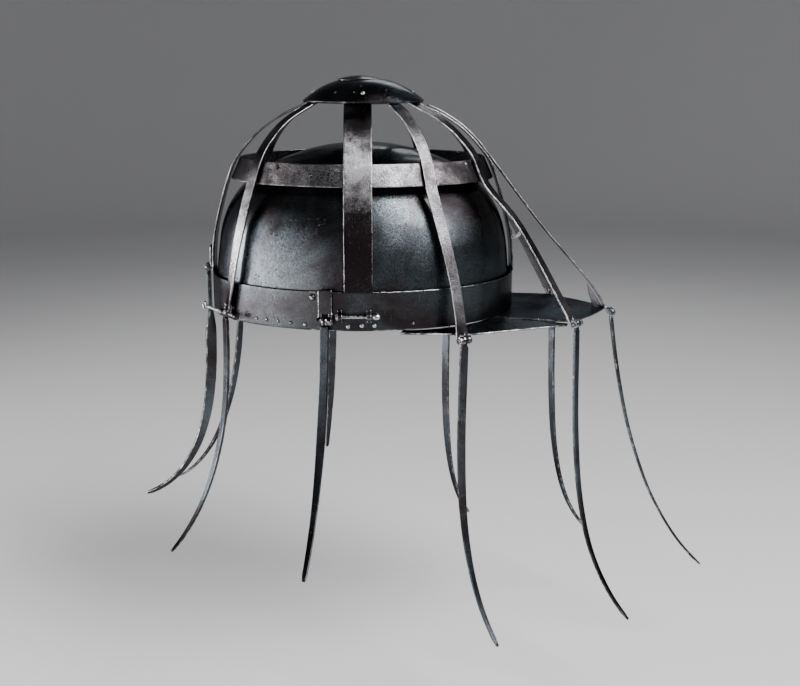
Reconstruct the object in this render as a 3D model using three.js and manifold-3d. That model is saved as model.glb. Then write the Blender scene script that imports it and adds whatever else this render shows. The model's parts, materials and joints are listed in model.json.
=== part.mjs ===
// Spider helmet: a smooth iron skull inside a frame of bands and straps, with a crown disc,
// a flat pointed peak and ten long curved legs that hang on hinges and turn up over the crown.
// The origin is the middle of the brow band's lower edge, +X points to the tip of the peak,
// +Z is up and the wearer's right side is at -Y. Lengths are in millimetres.
import * as THREE from 'three';
import { mergeVertices } from 'three/addons/utils/BufferGeometryUtils.js';
import Module from 'manifold-3d';

// Sheet iron and clearances
const GAP = 0.3;
const STRAP_THICK = 1.6;
const SKULL_THICK = 2.0;
const ROUND_STEPS = 48;
const SKULL_STEPS = 40;
const BARREL_STEPS = 10;
const SMALL_STEPS = 8;

// Brow band, an oval that everything above it follows
const BROW_LENGTH = 236;
const BROW_BREADTH = 193;
const BROW_HEIGHT = 28.5;
const BROW_THICK = 1.8;
const OVAL = BROW_BREADTH / BROW_LENGTH;

// Outer face of the strap frame in the middle plane: distance from the axis and height
const FRAME_FACE = [
  [118, BROW_HEIGHT],
  [117.2, 46],
  [115.3, 60],
  [109.5, 84],
  [105.2, 98],
  [100.4, 111],
  [96.8, 117.5],
  [79.5, 137],
  [62.5, 148.8],
  [48.5, 155.4],
  [38, 160.6],
  [30, 164.4],
];
const WIDE_STRAP = 20.5;
const SIDE_STRAP_SHIFT = -3;
const UPPER_BAND_LOW = 101.5;
const UPPER_BAND_HIGH = 117.5;
const UPPER_BAND_SLANT = 1.4;

// Skull: outer face in the middle plane
const SKULL_FACE = [
  [115.5, 0],
  [115.1, 16],
  [114.4, 30],
  [113.2, 48],
  [110.4, 64],
  [105.2, 78],
  [98.5, 89],
  [91.5, 97],
  [80, 106.5],
  [66, 114.3],
  [52, 120],
  [36, 124.6],
  [18, 127.4],
  [0, 128.4],
];

// Crown disc and the small boss on top of it
const DISC_RADIUS = 46.4;
const DISC_TOP = 176;
const DISC_EDGE = 159.5;
const DISC_THICK = 1.6;
const DISC_SHIFT = 1;
const DISC_RINGS = 4;
const BOSS_RADIUS = 16.8;
const BOSS_SHIFT = -2;
const BOSS_RISE = 1.9;

// Peak: a middle plate to the tip and a drooping wing on each side
const PEAK_THICK = 1.5;
const PEAK_TIP = 192.6;
const PEAK_SLOPE = -0.05;
const PEAK_CREASE_BACK = [102.4, 49];
const PEAK_CREASE_FRONT = [155, 52.5];
const PEAK_SHOULDER = [176, 30.5];
const WING_BACK = [27, 97.5];
const WING_CORNER = [74.5, 90.9];
const WING_FRONT = [154, 56];
const WING_DROP_X = -0.07677;
const WING_DROP_Y = -0.1404;
const WING_BASE = 14.87;
const CREASE_GAP = 0.45;
const WING_LAP = 1.2;
const TIP_HALF_WIDTH = 2.5;

// Hinges: a pin through two ears on the strap and one eye on the leg
const BARREL_RADIUS = 3.0;
const EAR_WIDTH = 2.9;
const EYE_WIDTH = 4.0;
const PIN_RADIUS = 1.1;
const PIN_HOLE_RADIUS = 1.4;
const HINGE_STAND_OFF = 3.6;
const SLOT_WIDTH = EYE_WIDTH + 2 * GAP;
const HINGE_WIDTH = SLOT_WIDTH + 2 * EAR_WIDTH;
const EYE_ROOM = 0.4;
const PIN_HEAD_RADIUS = 2.15;
const PIN_HEAD_THICK = 1.1;

// The long pin of the right back hinge, with a knob at one end and a ring at the other:
// distances along the pin from the middle of the hinge
const RING_PIN_FROM = -20.5;
const RING_PIN_TO = 17;
const RING_PIN_KNOB = { from: 15.5, to: 19.5, radius: 2.4 };
const RING_PIN_RING = { centre: -22.8, radius: 2.7, wire: 0.9 };

// Plates that carry the side and rear hinges, upwards from the barrel
const PLATE_WIDTH = 10;
const PLATE_UNDER = 1;
const SIDE_PLATE_RISE = 23.5;
const REAR_PLATE_RISE = 18;

// Leg straps are narrow, and each ends in its hinge
const LEG_STRAP = 9;
const LEG_STRAP_TUCK = 39;
const STRAP_STEPS = 18;
const STRAP_LIFT = 0.9;
const STRAP_SINK = 0.48;

// Strap to the tip of the peak: distances from the axis where it lies on the front strap, the
// places it passes below that, and the upright gusset that carries it on the plate
const TIP_STRAP_ON_FRAME = [50, 62, 74, 86, 97];
const TIP_STRAP_FREE = [[139.5, 0, 64], [182, 0, 14.6]];
const TIP_GUSSET = [[178.5, 15.4], [184, -3.6], [192.2, -4.0]];
const GUSSET_THICK = 2;

// Legs: hinge centre, outward heading in degrees, length, width of the blade at the top, and
// how it leans out in radians: at the top, its even bend, and its curl towards the tip
const LEGS = {
  tip: { hinge: [198.5, 0, -7.2], out: 0, length: 240, lean: [0.12, 0.3, 0.4], width: 6.4 },
  front: { hinge: [160.5, -60.5, -3.4], out: -37, length: 240, lean: [0.02, 0, 0.85], width: 6.4 },
  temple: { hinge: [73.2, -96.6, -7], out: -55, length: 235, lean: [-0.04, 0.05, 0.83], width: 7 },
  side: { hinge: [-27.4, -97.6, 7.5], out: -101, length: 188, lean: [0.06, 0.6, 0.25], width: 6.8 },
  back: { hinge: [-103.7, -53.4, 4.9], out: -146, length: 193, lean: [-0.04, 0.39, 0.52], width: 6.8 },
  rear: { hinge: [-121.7, 0, 31], out: 180, length: 211, lean: [0.01, -0.07, 1.32], width: 9 },
};
// Two left legs are bent otherwise than the right ones, and one of them is longer
const LEFT_LEGS = {
  side: { length: 184, lean: [0, 0.53, 0] },
  back: { length: 209, lean: [0, 0.57, 0.48] },
};
const LEG_THICK = 2.6;
const LEG_TIP_WIDTH = 3.6;
const LEG_TIP_THICK = 2;
const LEG_STEPS = 13;
const NECK_END = 0.55;
const BLADE_START = 0.72;
const REAR_TWIST = 1.05;
const TWIST_FROM = 0.14;
const TWIST_TO = 0.27;

// Where the leg straps cross the frame: degrees round the oval at the disc and at the upper
// band, and a point further down that the strap passes through
const STRAP_ROUTES = {
  front: { discAngle: -28, bandAngle: -27.5, by: [[115.5, -45.5, 72]] },
  temple: { discAngle: -57, bandAngle: -61.5, by: [[60.2, -83.8, 60], [67.2, -89, 28]] },
  back: { discAngle: -151, bandAngle: -141.5, by: [[-91.6, -60, 60], [-97.9, -58.6, 28]] },
};

// Bolt on the right of the brow band and the staple on the front strap
const BOLT_FROM = -19;
const BOLT_TO = 10.5;
const BOLT_HEIGHT = 11;
const BOLT_RADIUS = 1.2;
const BOLT_OUT = 99;
const BOLT_KNOB_RADIUS = 2.1;
const GUIDES = { back: -16.5, front: 4.5 };
const GUIDE_LENGTH = 3.2;
const GUIDE_HEIGHT = 5;
const GUIDE_OVER = 1.1;

// Small forked staple on the front strap: its height, and its outline as the distance out
// from the strap and the distance up from that height
const STAPLE_HEIGHT = 56;
const STAPLE_WIDTH = 4;
const STAPLE_OUTLINE = [[0, -4], [5.6, -2.6], [8, 1.5], [6.4, 1.6], [4, -0.9], [1.4, -1.2], [0, 4]];

// Rivets that show as nodes of their own
const CROWN_RIVET_RADIUS = 2.2;
const CROWN_RIVET_PLACE = 38;
const CROWN_RIVET_RISE = 0.2;

const UP = new THREE.Vector3(0, 0, 1);
const wasm = await Module();
wasm.setup();

// Finishes
const blackIron = new THREE.MeshStandardMaterial({ color: 0x23242a, roughness: 0.34, metalness: 0.9 });
const strapIron = new THREE.MeshStandardMaterial({ color: 0x2b2c33, roughness: 0.42, metalness: 0.9 });
const legIron = new THREE.MeshStandardMaterial({ color: 0x1f2024, roughness: 0.38, metalness: 0.9 });
const wornSteel = new THREE.MeshStandardMaterial({ color: 0x7d7d82, roughness: 0.35, metalness: 1.0 });

const group = new THREE.Group();

function addNode(name, geometry, material) {
  const mesh = new THREE.Mesh(geometry, material);
  mesh.name = name;
  group.add(mesh);
}

// A closed geometry with its shared corners merged, as a solid that can be joined or cut
function toSolid(geometry) {
  const bare = geometry.clone();
  for (const name of Object.keys(bare.attributes)) {
    if (name !== 'position') bare.deleteAttribute(name);
  }
  const merged = mergeVertices(bare, 1e-4);
  const vertProperties = new Float32Array(merged.attributes.position.array);
  const triVerts = new Uint32Array(merged.index.array);
  return new wasm.Manifold(new wasm.Mesh({ numProp: 3, vertProperties, triVerts }));
}

function toGeometry(solid) {
  const mesh = solid.getMesh();
  const geometry = new THREE.BufferGeometry();
  geometry.setAttribute('position', new THREE.BufferAttribute(new Float32Array(mesh.vertProperties), 3));
  geometry.setIndex(new THREE.BufferAttribute(new Uint32Array(mesh.triVerts), 1));
  geometry.computeVertexNormals();
  return geometry;
}

function join(...geometries) {
  return geometries.map(toSolid).reduce((sum, next) => sum.add(next));
}

// Signed volume tells whether the faces point out; they are turned over where they don't
function facesOut(geometry) {
  const place = geometry.attributes.position;
  const index = geometry.index;
  const corner = (i) => new THREE.Vector3().fromBufferAttribute(place, index.getX(i));
  let volume = 0;
  for (let i = 0; i < index.count; i += 3) {
    volume += corner(i).dot(corner(i + 1).cross(corner(i + 2)));
  }
  if (volume < 0) {
    for (let i = 0; i < index.count; i += 3) {
      const first = index.getX(i);
      index.setX(i, index.getX(i + 2));
      index.setX(i + 2, first);
    }
  }
  return geometry;
}

// Turned shape round the upright axis, squeezed to the helmet's oval
function turned(profile, steps = ROUND_STEPS, squeeze = OVAL) {
  const points = profile.map(([radius, height]) => new THREE.Vector2(radius, height));
  const geometry = new THREE.LatheGeometry(points, steps);
  geometry.rotateX(Math.PI / 2);
  geometry.scale(1, squeeze, 1);
  return facesOut(geometry);
}

// Rectangle of a band's section, closed on itself
function bandSection(lowRadius, highRadius, low, high, thick) {
  return [
    [lowRadius, low],
    [highRadius, high],
    [highRadius - thick, high],
    [lowRadius - thick, low],
    [lowRadius, low],
  ];
}

// Smooth line through a profile's points, as pairs again
function smooth(profile, count) {
  const curve = new THREE.SplineCurve(profile.map(([x, y]) => new THREE.Vector2(x, y)));
  return curve.getPoints(count).map((point) => [point.x, point.y]);
}

// The same line moved inwards by a thickness
function inset(line, distance) {
  return line.map(([x, y], i) => {
    const before = line[Math.max(i - 1, 0)];
    const after = line[Math.min(i + 1, line.length - 1)];
    const along = new THREE.Vector2(after[0] - before[0], after[1] - before[1]).normalize();
    return [x - along.y * distance, y + along.x * distance];
  });
}

const frameLine = smooth(FRAME_FACE, 24);

// Height of the frame's outer face at a distance from the axis, and the other way round
function frameHeight(radius) {
  for (let i = 1; i < frameLine.length; i += 1) {
    const [r0, z0] = frameLine[i - 1];
    const [r1, z1] = frameLine[i];
    if (radius <= r0 && radius >= r1) return z0 + ((r0 - radius) / (r0 - r1)) * (z1 - z0);
  }
  return BROW_HEIGHT;
}

function frameRadius(height) {
  for (let i = 1; i < frameLine.length; i += 1) {
    const [r0, z0] = frameLine[i - 1];
    const [r1, z1] = frameLine[i];
    if (height >= z0 && height <= z1) return r0 + ((height - z0) / (z1 - z0)) * (r1 - r0);
  }
  return BROW_LENGTH / 2;
}

// Skull, brow band and upper band
function makeSkull() {
  const outer = smooth(SKULL_FACE, 9);
  outer[outer.length - 1][0] = 0;
  const inner = inset(outer, SKULL_THICK).reverse();
  inner[0][0] = 0;
  inner[inner.length - 1][1] = 0;
  addNode('skull_bowl', turned([...outer, ...inner, outer[0]], SKULL_STEPS), blackIron);
}

function makeBands() {
  const rim = BROW_LENGTH / 2;
  addNode('brow_band', turned(bandSection(rim, rim, 0, BROW_HEIGHT, BROW_THICK)), blackIron);
  const behind = (STRAP_THICK + GAP) * UPPER_BAND_SLANT;
  const low = frameRadius(UPPER_BAND_LOW) - behind;
  const high = frameRadius(UPPER_BAND_HIGH) - behind;
  const section = bandSection(low, high, UPPER_BAND_LOW, UPPER_BAND_HIGH, STRAP_THICK);
  addNode('upper_band', turned(section), strapIron);
}

// Wide straps: a side view of the strap pushed out to the strap's width
function makeWideStrap(name, heading, shift, squeeze) {
  const line = frameLine
    .filter(([, height]) => height >= BROW_HEIGHT + GAP)
    .map(([radius, height]) => [radius * squeeze, height]);
  const outline = [...line, ...inset(line, STRAP_THICK).reverse()];
  const shape = new THREE.Shape(outline.map(([x, y]) => new THREE.Vector2(x, y)));
  const geometry = new THREE.ExtrudeGeometry(shape, { depth: WIDE_STRAP, bevelEnabled: false });
  geometry.translate(0, 0, -WIDE_STRAP / 2);
  const out = new THREE.Vector3(Math.cos(heading), Math.sin(heading), 0);
  const across = new THREE.Vector3().crossVectors(out, UP);
  geometry.applyMatrix4(new THREE.Matrix4().makeBasis(out, UP, across));
  geometry.translate(shift, 0, 0);
  addNode(name, geometry, strapIron);
}

// Crown disc: a shallow cap of even thickness, with the boss plate on top
function makeCrown() {
  const sag = DISC_TOP - DISC_EDGE;
  const radius = (DISC_RADIUS ** 2 + sag ** 2) / (2 * sag);
  const centre = DISC_TOP - radius;
  const arc = (r, reach, count) => {
    const turn = Math.asin(reach / r);
    return Array.from({ length: count + 1 }, (_, i) => {
      const angle = (turn * i) / count;
      return [r * Math.sin(angle), centre + r * Math.cos(angle)];
    });
  };
  const top = arc(radius, DISC_RADIUS, DISC_RINGS);
  const below = arc(radius - DISC_THICK, DISC_RADIUS - DISC_THICK, DISC_RINGS).reverse();
  const disc = turned([...top, ...below]);
  disc.translate(DISC_SHIFT, 0, 0);
  addNode('crown_disc', disc, blackIron);

  const bossTop = arc(radius + BOSS_RISE, BOSS_RADIUS, 2);
  const boss = turned([...bossTop, [BOSS_RADIUS, DISC_EDGE], [0, DISC_EDGE]], 20);
  boss.translate(BOSS_SHIFT, 0, 0);
  const discAndGap = (gap) => {
    const filled = turned([...arc(radius + gap, DISC_RADIUS, DISC_RINGS), [0, centre]]);
    return toSolid(filled).translate([DISC_SHIFT, 0, 0]);
  };
  addNode('crown_boss', toGeometry(toSolid(boss).subtract(discAndGap(GAP / 2))), blackIron);

  const rivetHeight = centre + Math.sqrt(radius ** 2 - CROWN_RIVET_PLACE ** 2) + CROWN_RIVET_RISE;
  const places = { front: 0, left: 90, rear: 180, right: 270 };
  for (const [side, degrees] of Object.entries(places)) {
    const angle = THREE.MathUtils.degToRad(degrees);
    const x = CROWN_RIVET_PLACE * Math.cos(angle) + DISC_SHIFT;
    const y = CROWN_RIVET_PLACE * OVAL * Math.sin(angle);
    const rivet = new THREE.SphereGeometry(CROWN_RIVET_RADIUS, SMALL_STEPS, 6);
    rivet.translate(x, y, rivetHeight);
    const head = toSolid(rivet).subtract(discAndGap(GAP));
    addNode(`crown_rivet_${side}`, toGeometry(head), wornSteel);
  }
}

// Peak plates: flat outlines, then tilted so that they fall away from the band
function plate(outline, heightAt) {
  const shape = new THREE.Shape(outline.map(([x, y]) => new THREE.Vector2(x, y)));
  const geometry = new THREE.ExtrudeGeometry(shape, { depth: PEAK_THICK, bevelEnabled: false });
  const place = geometry.attributes.position;
  for (let i = 0; i < place.count; i += 1) {
    place.setZ(i, place.getZ(i) - PEAK_THICK + heightAt(place.getX(i), place.getY(i)));
  }
  return geometry;
}

// Points on the oval just outside the brow band, between two distances to the side
function rimLine(fromY, toY, count) {
  const a = BROW_LENGTH / 2 + GAP * 1.5;
  const b = BROW_BREADTH / 2 + GAP * 1.5;
  const start = Math.asin(fromY / b);
  const end = Math.asin(toY / b);
  return Array.from({ length: count + 1 }, (_, i) => {
    const angle = start + ((end - start) * i) / count;
    return [a * Math.cos(angle), b * Math.sin(angle)];
  });
}

function makePeak() {
  const mirror = ([x, y]) => [x, -y];
  const right = [mirror(PEAK_CREASE_FRONT), mirror(PEAK_SHOULDER)];
  const left = [PEAK_SHOULDER, PEAK_CREASE_FRONT];
  const rim = rimLine(PEAK_CREASE_BACK[1], -PEAK_CREASE_BACK[1], 20);
  const middle = [...rim, ...right, [PEAK_TIP, -TIP_HALF_WIDTH], [PEAK_TIP, TIP_HALF_WIDTH], ...left];
  const middleHeight = (x) => PEAK_SLOPE * (x - PEAK_CREASE_BACK[0]);
  addNode('peak_plate', plate(middle, middleHeight), blackIron);

  const rimPart = rimLine(WING_BACK[1] - WING_LAP, PEAK_CREASE_BACK[1] + CREASE_GAP, 10);
  const wing = [
    ...rimPart,
    [PEAK_CREASE_FRONT[0], PEAK_CREASE_FRONT[1] + CREASE_GAP],
    WING_FRONT,
    WING_CORNER,
    WING_BACK,
  ];
  const wingHeight = (x, y) => WING_BASE + WING_DROP_X * x + WING_DROP_Y * Math.abs(y);
  addNode('peak_wing_left', facesOut(indexed(plate(wing, wingHeight))), blackIron);
  addNode('peak_wing_right', facesOut(indexed(plate(wing.map(mirror), wingHeight))), blackIron);
}

function indexed(geometry) {
  const bare = geometry.clone();
  bare.deleteAttribute('normal');
  bare.deleteAttribute('uv');
  return mergeVertices(bare, 1e-4);
}

// A bar whose flat section changes along a route: places, the section's two directions, and
// the width and thickness at each place
function bar(stations) {
  const corners = [[-0.5, -0.5], [0.5, -0.5], [0.5, 0.5], [-0.5, 0.5]];
  const positions = [];
  for (const { place, side, face, width, thick } of stations) {
    for (const [u, v] of corners) {
      const point = place.clone().addScaledVector(side, u * width).addScaledVector(face, v * thick);
      positions.push(point.x, point.y, point.z);
    }
  }
  const n = corners.length;
  const triangles = [];
  for (let ring = 0; ring + 1 < stations.length; ring += 1) {
    for (let i = 0; i < n; i += 1) {
      const a = ring * n + i;
      const b = ring * n + ((i + 1) % n);
      triangles.push(a, b, b + n, a, b + n, a + n);
    }
  }
  const last = (stations.length - 1) * n;
  for (let i = 1; i + 1 < n; i += 1) {
    triangles.push(0, i + 1, i, last, last + i, last + i + 1);
  }
  const geometry = new THREE.BufferGeometry();
  geometry.setAttribute('position', new THREE.Float32BufferAttribute(positions, 3));
  geometry.setIndex(triangles);
  return facesOut(geometry);
}

// Directions at a hinge: outwards, and along its pin
function hingeFrame(leg, side) {
  const [x, y, z] = leg.hinge;
  const heading = THREE.MathUtils.degToRad(leg.out);
  const centre = new THREE.Vector3(x, y * side, z);
  const out = new THREE.Vector3(Math.cos(heading), Math.sin(heading) * side, 0);
  const pin = new THREE.Vector3().crossVectors(UP, out);
  return { centre, out, pin };
}

// A round bar along a hinge's pin, from one distance along it to another
function alongPin({ centre, pin }, radius, from, to, steps = BARREL_STEPS) {
  const geometry = new THREE.CylinderGeometry(radius, radius, to - from, steps);
  geometry.applyQuaternion(new THREE.Quaternion().setFromUnitVectors(new THREE.Vector3(0, 1, 0), pin));
  const middle = centre.clone().addScaledVector(pin, (from + to) / 2);
  geometry.translate(middle.x, middle.y, middle.z);
  return geometry;
}

// Ears of a hinge joined to the piece that carries them, cut free for the leg's eye
function withEars(carrier, frame) {
  const half = HINGE_WIDTH / 2;
  const slot = SLOT_WIDTH / 2;
  const ears = join(alongPin(frame, BARREL_RADIUS, -half, half)).add(toSolid(carrier));
  const room = toSolid(alongPin(frame, BARREL_RADIUS + EYE_ROOM, -slot, slot));
  const hole = toSolid(alongPin(frame, PIN_HOLE_RADIUS, -HINGE_WIDTH, HINGE_WIDTH));
  return toGeometry(ears.subtract(room).subtract(hole));
}

function makePin(name, frame) {
  const inner = HINGE_WIDTH / 2 + GAP;
  const outer = inner + PIN_HEAD_THICK;
  const middle = (inner + outer) / 2;
  const rod = alongPin(frame, PIN_RADIUS, -middle, middle, SMALL_STEPS);
  const headA = alongPin(frame, PIN_HEAD_RADIUS, inner, outer, SMALL_STEPS);
  const headB = alongPin(frame, PIN_HEAD_RADIUS, -outer, -inner, SMALL_STEPS);
  addNode(name, toGeometry(join(rod, headA, headB)), wornSteel);
}

// The right back hinge has a long pin that ends in a ring and a knob
function makeRingPin(name, frame) {
  const rod = alongPin(frame, PIN_RADIUS, RING_PIN_FROM, RING_PIN_TO, SMALL_STEPS);
  const { from, to, radius } = RING_PIN_KNOB;
  const knob = alongPin(frame, radius, from, to, SMALL_STEPS);
  const ring = new THREE.TorusGeometry(RING_PIN_RING.radius, RING_PIN_RING.wire, 6, 12);
  const turn = new THREE.Quaternion().setFromUnitVectors(new THREE.Vector3(0, 0, 1), frame.out);
  ring.applyQuaternion(turn);
  const end = frame.centre.clone().addScaledVector(frame.pin, RING_PIN_RING.centre);
  ring.translate(end.x, end.y, end.z);
  addNode(name, toGeometry(join(rod, knob, ring)), wornSteel);
}

// Leg straps lie on the frame down to the upper band and then run free to their hinge
function makeLegStrap(name, route, leg, side) {
  const frame = hingeFrame(leg, side);
  const onFrame = [];
  const bandRadius = frameRadius(UPPER_BAND_LOW - 2);
  const steps = STRAP_STEPS / 3;
  for (let i = 0; i <= steps; i += 1) {
    const radius = LEG_STRAP_TUCK + ((bandRadius - LEG_STRAP_TUCK) * i) / steps;
    const degrees = route.discAngle + ((route.bandAngle - route.discAngle) * i) / steps;
    const angle = THREE.MathUtils.degToRad(degrees);
    const inner = radius - STRAP_THICK / 2 + STRAP_LIFT;
    onFrame.push(new THREE.Vector3(
      inner * Math.cos(angle),
      inner * OVAL * Math.sin(angle) * side,
      frameHeight(radius) - STRAP_SINK,
    ));
  }
  const by = route.by.map(([x, y, z]) => new THREE.Vector3(x, y * side, z));
  addStrap(name, [...onFrame, ...by], frame);
}

// Strap through a list of places that ends against a hinge's barrel
function addStrap(name, places, frame, turnFrom = 0.55) {
  const before = places[places.length - 1];
  const arrive = frame.centre.clone().sub(before).normalize();
  const normal = new THREE.Vector3().crossVectors(arrive, frame.pin).normalize();
  if (normal.dot(frame.out) < 0) normal.negate();
  const offset = BARREL_RADIUS - STRAP_THICK / 2;
  const foot = frame.centre.clone().addScaledVector(normal, -offset);
  const curve = new THREE.CatmullRomCurve3([...places, foot], false, 'centripetal');
  const stations = curve.getSpacedPoints(STRAP_STEPS).map((place, i) => {
    const t = i / STRAP_STEPS;
    const along = curve.getTangentAt(t);
    const onOval = new THREE.Vector3(place.x, place.y / OVAL ** 2, 0).normalize();
    const blend = THREE.MathUtils.smoothstep(t, turnFrom, 1);
    const hint = onOval.lerp(frame.out, blend).addScaledVector(UP, 0.8);
    const across = new THREE.Vector3().crossVectors(hint, along).normalize();
    const face = new THREE.Vector3().crossVectors(along, across).normalize();
    return { place, side: across, face, width: LEG_STRAP, thick: STRAP_THICK };
  });
  addNode(name, withEars(bar(stations), frame), strapIron);
}

// Side view in the middle plane, pushed out evenly to both sides
function upright(outline, width) {
  const shape = new THREE.Shape(outline.map(([x, z]) => new THREE.Vector2(x, z)));
  const geometry = new THREE.ExtrudeGeometry(shape, { depth: width, bevelEnabled: false });
  geometry.rotateX(Math.PI / 2);
  geometry.translate(0, width / 2, 0);
  return geometry;
}

// Strap to the tip of the peak: it lies on the front strap and stands on a gusset
function makeTipStrap() {
  const frame = hingeFrame(LEGS.tip, 1);
  const over = STRAP_THICK / 2 + GAP;
  const onFrame = TIP_STRAP_ON_FRAME.map((radius) => {
    const slope = (frameHeight(radius - 1) - frameHeight(radius + 1)) / 2;
    const tilt = Math.hypot(slope, 1);
    return new THREE.Vector3(radius + (over * slope) / tilt, 0, frameHeight(radius) + over / tilt);
  });
  const free = TIP_STRAP_FREE.map(([x, y, z]) => new THREE.Vector3(x, y, z));
  addStrap('leg_strap_tip', [...onFrame, ...free], frame, 0.2);
  addNode('tip_gusset', upright(TIP_GUSSET, GUSSET_THICK), strapIron);
}

// Hinge plates that carry a leg with no strap of its own
function makeHingePlate(name, leg, side, rise) {
  const frame = hingeFrame(leg, side);
  const plateShape = new THREE.BoxGeometry(STRAP_THICK, PLATE_WIDTH, rise);
  plateShape.translate(GAP + STRAP_THICK / 2 - HINGE_STAND_OFF, 0, rise / 2 - PLATE_UNDER);
  const along = new THREE.Vector3().crossVectors(UP, frame.out);
  plateShape.applyMatrix4(new THREE.Matrix4().makeBasis(frame.out, along, UP));
  plateShape.translate(frame.centre.x, frame.centre.y, frame.centre.z);
  addNode(name, withEars(plateShape, frame), strapIron);
}

// Leg: an eye on the pin, a neck and a curved blade that narrows to its tip
function makeLeg(name, leg, side, twist = 0) {
  const frame = hingeFrame(leg, side);
  const eye = alongPin(frame, BARREL_RADIUS, -EYE_WIDTH / 2, EYE_WIDTH / 2);
  const place = frame.centre.clone();
  const step = leg.length / LEG_STEPS;
  const [top, bend, curl] = leg.lean;
  const downAt = (s) => {
    const lean = top + bend * s + curl * s ** 3;
    return frame.out.clone().multiplyScalar(Math.sin(lean)).addScaledVector(UP, -Math.cos(lean));
  };
  const stations = [];
  for (let i = 0; i <= LEG_STEPS; i += 1) {
    const s = i / LEG_STEPS;
    if (i > 0) place.addScaledVector(downAt((i - 0.5) / LEG_STEPS), step);
    const along = downAt(s);
    const turn = twist * THREE.MathUtils.smoothstep(s, TWIST_FROM, TWIST_TO);
    const across = frame.pin.clone().applyAxisAngle(along, turn);
    const face = new THREE.Vector3().crossVectors(along, across);
    const narrow = THREE.MathUtils.smoothstep(s, 0.35, 1.05);
    const width = i === 0 ? EYE_WIDTH : leg.width + (LEG_TIP_WIDTH - leg.width) * narrow;
    const thick = LEG_THICK + (LEG_TIP_THICK - LEG_THICK) * s;
    stations.push({ place: place.clone(), side: across, face, width, thick });
  }
  // The neck stays as narrow as the eye until it is clear of the ears
  const [first, second] = stations;
  const neckEnd = first.place.clone().lerp(second.place, NECK_END);
  const bladeStart = first.place.clone().lerp(second.place, BLADE_START);
  stations.splice(1, 0, { ...first, place: neckEnd }, { ...second, place: bladeStart });
  const lastStation = stations[stations.length - 1];
  lastStation.width *= 0.55;
  lastStation.thick *= 0.6;
  const hole = toSolid(alongPin(frame, PIN_HOLE_RADIUS, -EYE_WIDTH, EYE_WIDTH));
  addNode(name, toGeometry(join(eye, bar(stations)).subtract(hole)), legIron);
}

// Bolt in two small guides on the right of the brow band
function makeSideBolt() {
  const length = BOLT_TO - BOLT_FROM;
  const rod = new THREE.CylinderGeometry(BOLT_RADIUS, BOLT_RADIUS, length, SMALL_STEPS);
  rod.rotateZ(Math.PI / 2);
  rod.translate((BOLT_FROM + BOLT_TO) / 2, -BOLT_OUT, BOLT_HEIGHT);
  const knob = new THREE.SphereGeometry(BOLT_KNOB_RADIUS, SMALL_STEPS, 6);
  knob.translate(BOLT_TO, -BOLT_OUT, BOLT_HEIGHT);
  addNode('side_bolt', toGeometry(join(rod, knob)), wornSteel);
  for (const [place, x] of Object.entries(GUIDES)) {
    const band = (BROW_BREADTH / 2) * Math.sqrt(1 - (x / (BROW_LENGTH / 2)) ** 2);
    const near = band + GAP * 1.5;
    const far = BOLT_OUT + BOLT_RADIUS + GUIDE_OVER;
    const block = new THREE.BoxGeometry(GUIDE_LENGTH, far - near, GUIDE_HEIGHT);
    block.translate(x, -(near + far) / 2, BOLT_HEIGHT);
    const boreRadius = BOLT_RADIUS + GAP;
    const bore = new THREE.CylinderGeometry(boreRadius, boreRadius, 2 * GUIDE_LENGTH, SMALL_STEPS);
    bore.rotateZ(Math.PI / 2);
    bore.translate(x, -BOLT_OUT, BOLT_HEIGHT);
    addNode(`bolt_guide_${place}`, toGeometry(toSolid(block).subtract(toSolid(bore))), strapIron);
  }
}

function makeFrontStaple() {
  const face = frameRadius(STAPLE_HEIGHT) + 3 * GAP;
  const outline = STAPLE_OUTLINE.map(([reach, rise]) => [face + reach, STAPLE_HEIGHT + rise]);
  addNode('front_staple', upright(outline, STAPLE_WIDTH), strapIron);
}

// Bands' straps, leg straps and hinge plates
function makeFrame() {
  makeWideStrap('wide_strap_front', 0, 0, 1);
  makeWideStrap('wide_strap_rear', Math.PI, 0, 1);
  makeWideStrap('wide_strap_right', -Math.PI / 2, SIDE_STRAP_SHIFT, OVAL);
  makeWideStrap('wide_strap_left', Math.PI / 2, SIDE_STRAP_SHIFT, OVAL);
  makeTipStrap();
  for (const [place, route] of Object.entries(STRAP_ROUTES)) {
    makeLegStrap(`leg_strap_${place}_right`, route, LEGS[place], 1);
    makeLegStrap(`leg_strap_${place}_left`, route, LEGS[place], -1);
  }
  makeHingePlate('hinge_plate_side_right', LEGS.side, 1, SIDE_PLATE_RISE);
  makeHingePlate('hinge_plate_side_left', LEGS.side, -1, SIDE_PLATE_RISE);
  makeHingePlate('hinge_plate_rear', LEGS.rear, 1, REAR_PLATE_RISE);
}

function makeLegs() {
  for (const [place, leg] of Object.entries(LEGS)) {
    const sides = leg.hinge[1] === 0 ? { '': 1 } : { _right: 1, _left: -1 };
    for (const [suffix, side] of Object.entries(sides)) {
      const frame = hingeFrame(leg, side);
      const bent = side < 0 ? { ...leg, ...LEFT_LEGS[place] } : leg;
      makeLeg(`leg_${place}${suffix}`, bent, side, place === 'rear' ? REAR_TWIST : 0);
      const pinName = `pin_${place}${suffix}`;
      if (pinName === 'pin_back_right') makeRingPin(pinName, frame);
      else makePin(pinName, frame);
    }
  }
}

makeSkull();
makeBands();
makeCrown();
makePeak();
makeFrame();
makeLegs();
makeSideBolt();
makeFrontStaple();

export default group;
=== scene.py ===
import json
import math

import bmesh
import bpy
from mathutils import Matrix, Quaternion, Vector, noise


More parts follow.
